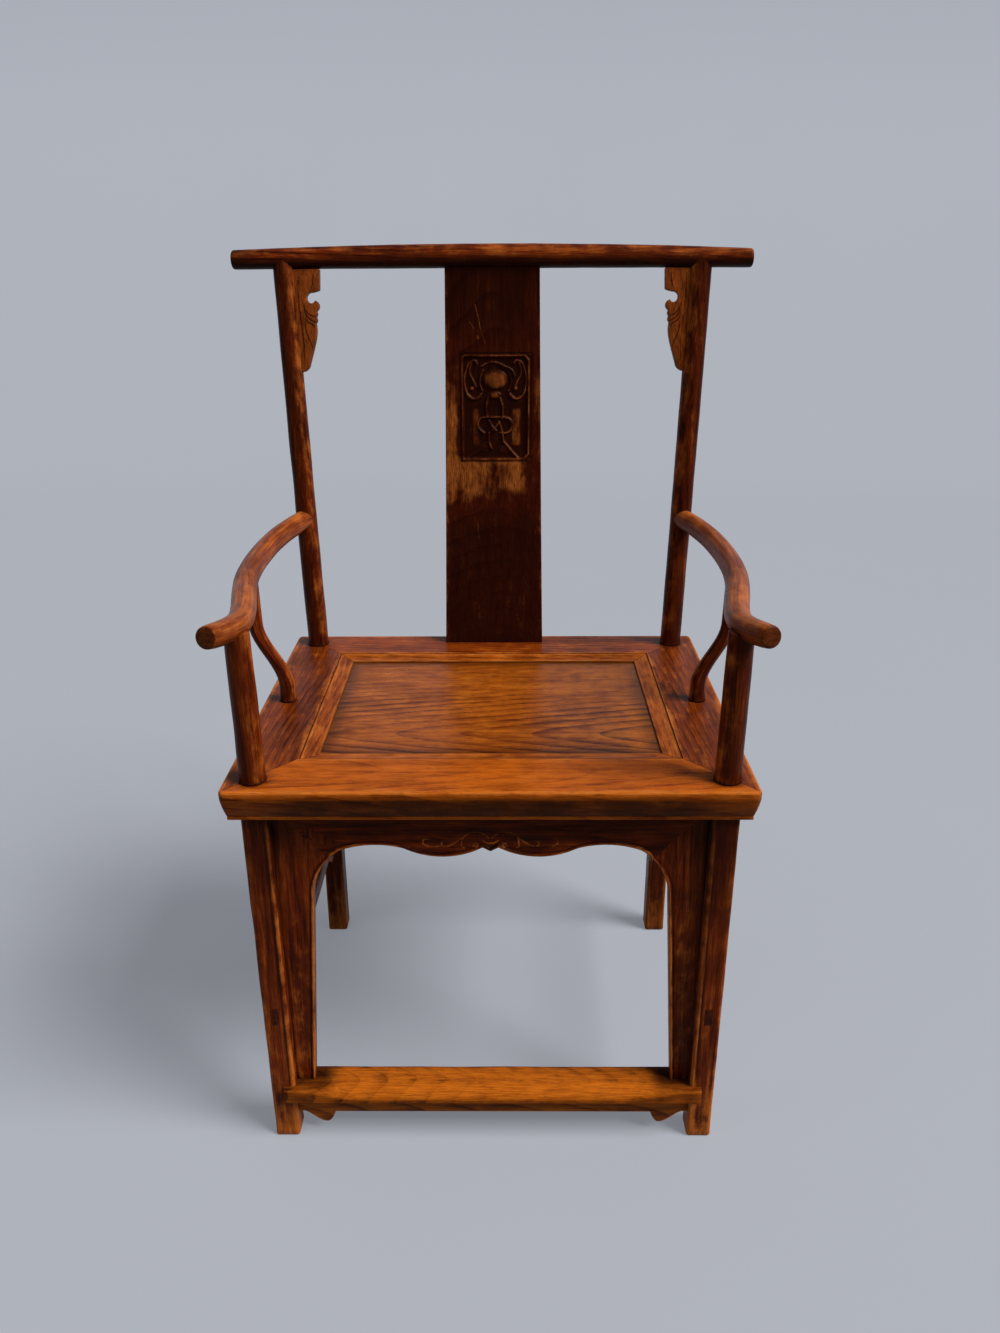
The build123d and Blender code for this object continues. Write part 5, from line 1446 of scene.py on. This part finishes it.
# ------------------------------------------------------------------ the arched front and foot rail
@dataclass
class FrontFrame:
    """The arched apron and boards between the front legs, the foot rail and the apron under it."""

    posts: Posts
    setback: float = 13.0
    rounding: float = 1.2
    thickness: float = 12.0
    bead_width: float = 4.0
    bead_height: float = 1.2
    mitre_width: float = 61.0
    mitre_drop: float = 65.0
    mitre_slope: float = 0.9
    foot_rail_top: float = 83.5
    foot_rail_thickness: float = 20.0
    foot_rail_width: float = 44.5
    foot_rail_reach: float = 9.0
    foot_rail_half_length: float = 262.5
    scroll_width: float = 1.2  # from the middle of an incised line to its edge
    foot_apron_bottom: float = 34.0
    foot_apron_setback: float = 7.0
    foot_apron_thickness: float = 11.0

    def leg_inner(self, z: Array) -> Array:
        """X of the inner face of the right-hand front leg at height z."""
        foot, neck = self.posts.front_foot[0], self.posts.front_neck[0]
        return foot + (neck - foot) * z / SEAT_UNDERSIDE - self.posts.leg_width / 2

    @property
    def leg_front(self) -> float:
        """Y of the front faces of the front legs."""
        return self.posts.front_foot[1] - self.posts.leg_width / 2 + SEAT_CENTRE_Y

    def opening(self) -> Array:
        """The right-hand half of the opening from the foot rail up and in to the pendant."""

        def at(width: float, drop: float) -> tuple[float, float]:
            """A place width in from the leg and drop below the seat."""
            z = SEAT_UNDERSIDE - drop
            return self.leg_inner(z) - width, z

        foot = (self.leg_inner(self.foot_rail_top) - 23.5, self.foot_rail_top)
        spring, shoulder, corner, crown = at(41, 118), at(50, 81), at(75, 53), at(117, 45.5)
        hollow, lobe, notch = (98, SEAT_UNDERSIDE - 50.4), (50, SEAT_UNDERSIDE - 61.2), (9, SEAT_UNDERSIDE - 49)
        runs = [np.linspace(foot, spring, 24), arc(spring, shoulder, corner, 30), arc(corner, crown, hollow, 30)]
        runs += [arc(hollow, lobe, notch, 40), np.array([notch, (0.0, SEAT_UNDERSIDE - 54)])]
        return np.concatenate([runs[0]] + [run[1:] for run in runs[1:]])

    def bead(self, places: Array) -> Array:
        """Height of the bead that follows the edge of the opening, with a fine groove beside it."""
        far = distance_to(places, self.opening())
        half = self.bead_width / 2
        dome = np.sqrt(mound(far - half, half))
        return self.bead_height * dome - 0.5 * hump(far, self.bead_width + 0.7, 0.6)

    def scroll(self, x: Array, z: Array) -> Array:
        """Depth of the scroll incised in the middle of the apron, the same on both sides."""
        spiral = ((2.0, 441.2), (4.5, 444.0), (8.0, 446.8), (13.0, 448.5), (18.0, 449.0), (24.0, 447.5))
        spiral += ((28.6, 444.0), (31.6, 439.5), (32.6, 434.0), (31.8, 429.5), (29.0, 428.2))
        tendril = ((28.6, 444.0), (33.1, 440.7), (37.6, 437.2), (42.2, 433.8), (46.7, 431.4))
        tendril += ((51.2, 430.2), (54.8, 432.0), (55.6, 435.0), (53.5, 436.4))
        lines = (
            spiral,
            tendril,
            ((54.8, 432.0), (60.0, 430.6), (66.0, 430.0), (72.0, 431.4), (76.4, 435.0), (75.6, 439.4), (71.5, 439.4)),
            ((19.5, 431.0), (15.9, 430.2), (14.0, 432.4), (15.4, 434.6), (17.7, 433.6)),
            ((0.0, 434.6), (5.0, 435.7), (8.6, 438.4)),
        )
        places = np.stack([np.abs(x), z], -1)
        cuts = (mound(distance_to(places, spline(stops, 50)), self.scroll_width) for stops in lines)
        return most(*cuts)

    def faced(
        self,
        name: str,
        wood: str,
        places: tuple[Array, Array],
        gap: Array,
        front: Array,
        pick: Sequence[int],
        wear_and_highlight: Array,
        grime_and_shade: Array,
    ) -> Piece:
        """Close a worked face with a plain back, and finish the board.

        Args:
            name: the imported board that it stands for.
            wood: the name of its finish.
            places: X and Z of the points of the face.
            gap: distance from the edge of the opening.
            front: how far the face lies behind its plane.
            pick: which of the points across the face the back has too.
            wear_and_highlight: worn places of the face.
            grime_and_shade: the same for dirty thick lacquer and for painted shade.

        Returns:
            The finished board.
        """
        x, z = places
        plane = self.leg_front + self.setback
        back = plane + self.thickness - rounding_loss(gap[:, pick], self.rounding)
        skin = backed(xyz(x, plane + front, z), xyz(x[:, pick], back, z[:, pick]), wear_and_highlight, np.clip(grime_and_shade, 0, 1))
        return made(name, wood, skin, 50)

    def apron(self) -> Piece:
        """The apron: lobed, with a small pendant, a bead and an incised scroll."""
        line = self.opening()
        order = np.argsort(line[:, 0])
        mitre_foot = SEAT_UNDERSIDE - self.mitre_drop

        def edge(x: Array) -> Array:
            """Height of the opening's edge at x."""
            return np.interp(np.abs(x), line[order, 0], line[order, 1])

        def mitre(z: Array) -> Array:
            """Half length of the apron at height z."""
            start = self.leg_inner(mitre_foot) - self.mitre_width
            return np.minimum(start + self.mitre_slope * (z - mitre_foot), self.leg_inner(z))

        coarse, fine = spaced(0.44, 0.985, 0.02), spaced(-0.43, 0.43, 0.0046)
        steps = np.concatenate([[-1, -0.996], -coarse[::-1], fine, coarse, [0.996, 1]])
        low = edge(steps * 190.0)
        for _ in range(12):
            low = edge(steps * mitre(low))
        marks = slab_marks(SEAT_UNDERSIDE - low, BEAD_MARKS, (0, 0.6), 1.5)
        steps = steps[:, None]
        z = low[:, None] + marks
        x = steps * mitre(z)
        gap = z - low[:, None]
        cut = self.scroll(x, z)
        lift = self.bead(np.stack([np.abs(x), z], -1)) - cut
        front = rounding_loss(gap, self.rounding) - lift + 0.2 * (1 + ripple(xyz(x, z, 0.0), 70, 41))
        front[[0, -1]] += 0.5
        wear_and_highlight = np.clip(0.60 * hump(gap, 1.6, 1.8) + 0.62 * eased(cut * 1.6), 0, 1)
        wear_and_highlight = wear_and_highlight + 0.20 * hump(np.abs(x), 170, 40) * hump(gap, 3, 6)
        grime_and_shade = 0.75 * hump(gap, 4.8, 0.8) + 0.45 * hump(z, SEAT_UNDERSIDE, 12)
        grime_and_shade = grime_and_shade + 0.9 * (np.abs(x) < 8) * hump(gap, 0, 6)
        grime_and_shade = grime_and_shade * (1 - eased(cut * 1.6)) + 0.8 * (np.abs(steps) == 1)
        pick = [0, 2, 10, z.shape[1] // 2, z.shape[1] - 1]
        return self.faced("front_apron", "elm_apron", (x, z), gap, front, pick, wear_and_highlight, grime_and_shade)

    def board(self, side: int) -> Piece:
        """The upright board beside a front leg, mitred to the apron."""
        line = self.opening()
        climb = line[:, 1].argmax()
        rise = line[: climb + 1]
        steps = np.concatenate([[0, 0.002], spaced(0.01, 0.99, 0.016), [0.997, 1]])
        top_z = SEAT_UNDERSIDE - self.mitre_drop
        start_x = self.leg_inner(top_z) - self.mitre_width

        def top(x: Array) -> Array:
            """Height of the mitre at x."""
            return np.minimum(top_z + (x - start_x) / self.mitre_slope, SEAT_UNDERSIDE)

        z_in = self.foot_rail_top + steps * (top_z - self.foot_rail_top)
        x_in = np.interp(z_in, rise[:, 1], rise[:, 0])
        width = self.leg_inner(z_in) - x_in
        marks = slab_marks(width, BEAD_MARKS, (0, 0.6), 3)
        z = self.foot_rail_top + steps[:, None] * (top(x_in[:, None] + marks) - self.foot_rail_top)
        x_edge = np.interp(z, rise[:, 1], rise[:, 0])
        x = between(x_edge, self.leg_inner(z), marks / width[:, None])
        edged = len(BEAD_MARKS)
        x[:, :edged] = x_edge[:, :edged] + marks[:, :edged]
        x[-1] = x_in[-1] + marks[-1]
        z[-1] = top(x[-1])
        lift = self.bead(np.stack([x, z], -1))
        front = rounding_loss(marks, self.rounding) - lift + 0.2 * (1 + ripple(xyz(x * side, z, 0.0), 70, 43))
        front[-1] += 0.5
        wear_and_highlight = np.clip(0.72 * hump(marks, 1.4, 2.0), 0, 1) + 0.06 + 0.30 * hump(marks, 17, 16) * eased((400 - z) / 130)
        grime_and_shade = 0.7 * hump(marks, 4.9, 0.9) + 0.55 * hump(width[:, None] - marks, 0, 4)
        grime_and_shade = grime_and_shade + 0.8 * (steps == 1)[:, None] + 0.6 * hump(z, self.foot_rail_top, 5)
        grime_and_shade = grime_and_shade + 0.45 * eased((marks - 6) / 6) * eased((z - 380) / 60)
        name = f"arch_board_{SIDES[side]}"
        pick = [0, 2, 10, x.shape[1] - 1]
        return self.faced(name, "elm_arch_board", (side * x, z), marks, front, pick, wear_and_highlight, grime_and_shade)

    def foot_rail(self) -> Piece:
        """The foot rail, its front arris rolled over by feet between square ears at the legs."""
        half = self.foot_rail_half_length
        ends = np.array([0, 0.8, 3])
        x = np.concatenate([ends - half, spaced(-half + 7, half - 7, 6), half - ends[::-1]])
        front = self.leg_front - self.foot_rail_reach
        back = front + self.foot_rail_width
        top, low = self.foot_rail_top, self.foot_rail_top - self.foot_rail_thickness
        worn = eased((252 - np.abs(x)) / 85)
        round_in, round_down = between(3.0, 21.0, worn), between(2.6, 14.5, worn)
        ring = [(front + 0.2, low + d, 0.3) for d in (0.8, 3.0, 4.5)]
        for a in np.linspace(0, math.pi / 2, 9):
            y, z = front + round_in * (1 - math.cos(a)), top - round_down * (1 - math.sin(a))
            ring.append((y, z, 0.35 * math.sin(2 * a) + 0.45))
        for share in (0.12, 0.28, 0.45, 0.62, 0.8, 0.94):
            ring.append((between(front + round_in, back - 3, share), top, 0.55))
        for y, z in ((back, top - 1.5), (back, low + 1.5), (back - 2, low), (front + 20, low), (front + 2, low)):
            ring.append((y, z, 0.2))
        rows = np.stack([xyz(x, y, z) for y, z, _ in ring], axis=1)
        rows[:, :, 2] -= 0.35 * (1 + ripple(rows, 90, 51)) * (rows[:, :, 2] > low + 10)
        rows[:, :, 1] += np.sign((front + back) / 2 - rows[:, :, 1]) * rounding_loss(half - np.abs(x), 3.0)[:, None]
        rows[:, :, 1] += 0.25 * (1 + ripple(rows, 40, 52)) * (rows[:, :, 1] < front + 4)
        wear_and_highlight = np.array([rubbed for *_, rubbed in ring]) + 0.25 * worn[:, None]
        ear = eased((np.abs(x) - 190) / 26)[:, None]
        # Darker at the ears by the legs, most towards the back, and along the bottom edge.
        grime_and_shade = 0.95 * ear * hump(rows[:, :, 1], back - 14, 30) * (rows[:, :, 2] > low + 6)
        grime_and_shade = np.maximum(grime_and_shade, 0.5 * hump(rows[:, :, 2], low, 3))
        return made("foot_rail", "elm_foot_rail", Skin(rows, np.clip(wear_and_highlight, 0, 1), grime_and_shade))

    def foot_apron(self) -> Piece:
        """The low apron under the foot rail, with a drop beside each leg."""
        bottom, high = self.foot_apron_bottom, self.foot_rail_top - self.foot_rail_thickness + 0.5
        leg = self.leg_inner(bottom)
        curve = spline(((-2, 1), (6, 1), (22, -10), (38, -16), (43, -10), (47, 0)), 60)
        curve = curve[np.argsort(curve[:, 0])]
        fine = spaced(leg - 50, leg + 0.5, 1.6)
        x = np.concatenate([-fine[::-1], spaced(-leg + 56, leg - 56, 8), fine])
        low = bottom + np.interp(leg - np.abs(x), curve[:, 0], curve[:, 1], right=0.0)
        arris = (0, 0.35, 1.2)
        marks = slab_marks(high - low, arris, arris, 3.0)
        gap = np.minimum(marks, (high - low)[:, None] - marks)
        loss = rounding_loss(gap, self.rounding)
        count = marks.shape[1]
        pick = np.array([0, 1, 2, *range(3, count - 3, 4), count - 3, count - 2, count - 1])[::-1]
        face = self.leg_front + self.foot_apron_setback
        z = low[:, None] + marks
        behind = xyz(x[:, None], face + self.foot_apron_thickness - loss[:, pick], z[:, pick])
        rows = np.concatenate([xyz(x[:, None], face + loss, z), behind], axis=1)
        wear_and_highlight = 0.8 * hump(gap, 0.6, 1.8)
        skin = Skin(rows, np.concatenate([wear_and_highlight, wear_and_highlight[:, pick]], axis=1))
        return made("foot_rail_apron", "elm_foot_apron", skin)

    def build(self) -> None:
        """Make the whole front frame."""
        self.apron()
        for side in SIDES:
            self.board(side)
        self.foot_rail()
        self.foot_apron()


# ------------------------------------------------------------------ rails between the legs
@dataclass
class Undercarriage:
    """The side stretchers with their tenons shown, and the plain pieces that stay as packed."""

    posts: Posts
    width: float = 16.0
    height: float = 28.0
    rounding: float = 5.0
    stretcher_z: float = 195.0
    tenon_width: float = 9.5
    tenon_height: float = 24.0
    tenon_stand: float = 0.3
    tenon_length: float = 6.0
    tenon_bevel: float = 0.5
    end_gap: float = 8.0  # from the middle of a leg to the stretcher's end inside it

    def stretcher(self, side: int) -> Piece:
        """A side stretcher, with the end of its through tenon on the front leg's face."""
        share = self.stretcher_z / SEAT_UNDERSIDE
        x = between(self.posts.front_foot[0], self.posts.front_neck[0], share)
        front = self.posts.front_foot[1] + SEAT_CENTRE_Y + self.end_gap
        back = between(self.posts.back_foot[1], self.posts.back_neck[1], share) + SEAT_CENTRE_Y - self.end_gap
        y = spaced(front, back, 7)
        outline = []
        for sx, sz, start in ((1, 1, 0), (-1, 1, 90), (-1, -1, 180), (1, -1, 270)):
            for a in np.radians(np.linspace(start, start + 90, 6)):
                cx, cz = sx * (self.width / 2 - self.rounding), sz * (self.height / 2 - self.rounding)
                outline.append((cx + self.rounding * math.cos(a), cz + self.rounding * math.sin(a)))
            if sx * sz > 0:
                outline.append((0.0, sz * self.height / 2))
        ring = np.array(outline)
        rows = xyz(side * x + ring[:, 0], y[:, None], self.stretcher_z + ring[:, 1])
        rows[:, :, 0] -= 0.3 * np.sign(ring[:, 0]) * (1 + ripple(rows, 60, 61))
        wear_and_highlight = np.broadcast_to(0.15 + 0.5 * np.clip(ring[:, 1] / 14, 0, 1) ** 3, (len(y), len(ring)))
        name = f"side_stretcher_{SIDES[side]}"
        body = rolled(name + "_fine", Skin(rows, wear_and_highlight), 40)
        deselect()
        face = self.posts.front_foot[1] - self.posts.leg_width / 2 + SEAT_CENTRE_Y
        size = (self.tenon_width * MM, self.tenon_length * MM, self.tenon_height * MM)
        middle = (side * x * MM, (face - self.tenon_stand + self.tenon_length / 2) * MM, self.stretcher_z * MM)
        bpy.ops.mesh.primitive_cube_add(size=1, location=middle, scale=size)
        tenon = named("tenon")
        bpy.ops.object.transform_apply(location=True, rotation=True, scale=True)
        worked(partial(bpy.ops.mesh.bevel, offset=self.tenon_bevel * MM, segments=2, affect="EDGES"))
        for label, value in (("wear_and_highlight", 0.0), ("grime_and_shade", 0.62)):
            paint(tenon, label, np.full(len(tenon.data.vertices), value))
        return fitted(joined(name + "_fine", [body, tenon]), "elm_stretcher", name)

    def build(self) -> None:
        """Make the stretchers and dress what stays as packed."""
        for side in SIDES:
            self.stretcher(side)
        lengthways = ("side_apron_left", "side_apron_right", "seat_batten_left", "seat_batten_right")
        for name in (*lengthways, "back_apron", "back_stretcher"):
            wood = "elm_plain_deep" if name in lengthways else "elm_plain_across"
            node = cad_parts[name]
            if not node.data.materials:
                node.data.materials.append(finish(wood))
            for slot in node.material_slots:
                slot.material = finish(wood)
            log.info("%s keeps its packed shape, %s", name, wood)


# ------------------------------------------------------------------ studio
@dataclass
class Studio:
    """A seamless pale sheet, soft light from above and the camera."""

    camera_place: tuple[float, float, float] = (0.0190, -1.1782, 1.0581)  # metres, as all of the studio
    pitch: float = 0.39986
    yaw: float = -0.0076
    roll: float = -0.0043
    lens: float = 26.848
    sensor: float = 36.0
    sun_turn: tuple[float, float, float] = (0.75, 0.0, 1.20)
    sun_colour: Colour = (1.0, 0.985, 0.96)
    sun_energy: float = 3.8
    sun_softness: float = 27.0  # degrees
    surround: tuple[float, float, float, float] = (0.92, 0.95, 1.0, 1)
    surround_energy: float = 0.21
    sheet_flat: float = 3.2  # metres behind the chair where the sheet begins to rise
    sheet_radius: float = 2.4

    def sheet(self) -> None:
        """The floor, curving up into a wall far behind the chair."""
        deselect()
        bpy.ops.mesh.primitive_grid_add(x_subdivisions=4, y_subdivisions=60, size=1)
        floor = named("paper_sheet")
        run = np.linspace(-3.0, 9.0, 61)[:, None]
        straight, radius = self.sheet_flat, self.sheet_radius
        bend = np.clip((run - straight) / radius, 0, math.pi / 2)
        over = np.maximum(run - straight - radius * math.pi / 2, 0)
        y = np.where(run < straight, run, straight + radius * np.sin(bend))
        move_points(floor, xyz(np.linspace(-6, 6, 5), y, radius * (1 - np.cos(bend)) + over))
        bpy.ops.object.shade_smooth()
        floor.data.materials.append(Paper().dressed())
        floor.visible_diffuse = False  # the sheet shines behind the chair, not on it

    def lights(self) -> None:
        """A broad soft light from above, two small ones for gloss, and an even surround."""
        world = bpy.data.worlds.new("surround")
        world.use_nodes = True
        glow = world.node_tree.nodes["Background"].inputs
        glow["Color"].default_value = self.surround
        glow["Strength"].default_value = self.surround_energy
        bpy.context.scene.world = world
        bpy.ops.object.light_add(type="SUN", location=(0.8, -1.0, 3.0), rotation=self.sun_turn)
        sun = named("soft_overhead")
        sun.data.energy = self.sun_energy
        sun.data.angle = math.radians(self.sun_softness)
        sun.data.color = self.sun_colour
        for name, place, turn, size, energy in (
            ("gloss_right", (1.7, -0.7, 2.1), (0.62, 0.0, 0.95), 0.9, 7.0),
            ("gloss_left", (-1.9, -1.0, 1.9), (0.75, 0.0, -1.0), 0.8, 4.0),
        ):
            bpy.ops.object.light_add(type="AREA", location=place, rotation=turn)
            lamp = named(name)
            lamp.data.shape = "SQUARE"
            lamp.data.size = size
            lamp.data.energy = energy

    def camera(self) -> None:
        """The camera, level with the crest rail and looking down at the seat."""
        turn = (math.pi / 2 - self.pitch, 0.0, -self.yaw)
        bpy.ops.object.camera_add(location=self.camera_place, rotation=turn)
        camera = named("camera")
        camera.data.sensor_fit = "AUTO"
        camera.data.sensor_width = self.sensor
        camera.data.lens = self.lens
        camera.data.clip_end = 50
        camera.rotation_euler.rotate_axis("Z", self.roll)
        bpy.context.scene.camera = camera
        bpy.context.scene.view_settings.view_transform = "Standard"

    def build(self) -> None:
        """Set the stage."""
        self.camera()
        self.sheet()
        self.lights()


def main() -> None:
    """Build the chair piece by piece, then the studio round it."""
    logging.basicConfig(level=logging.INFO, format="%(name)s: %(message)s")
    posts = Posts()
    for part in (posts, Arms(posts), Back(posts), Seat(posts), FrontFrame(posts), Undercarriage(posts), Studio()):
        log.info("building %s", type(part).__name__)
        part.build()
    deselect()


if __name__ == "__main__":
    main()
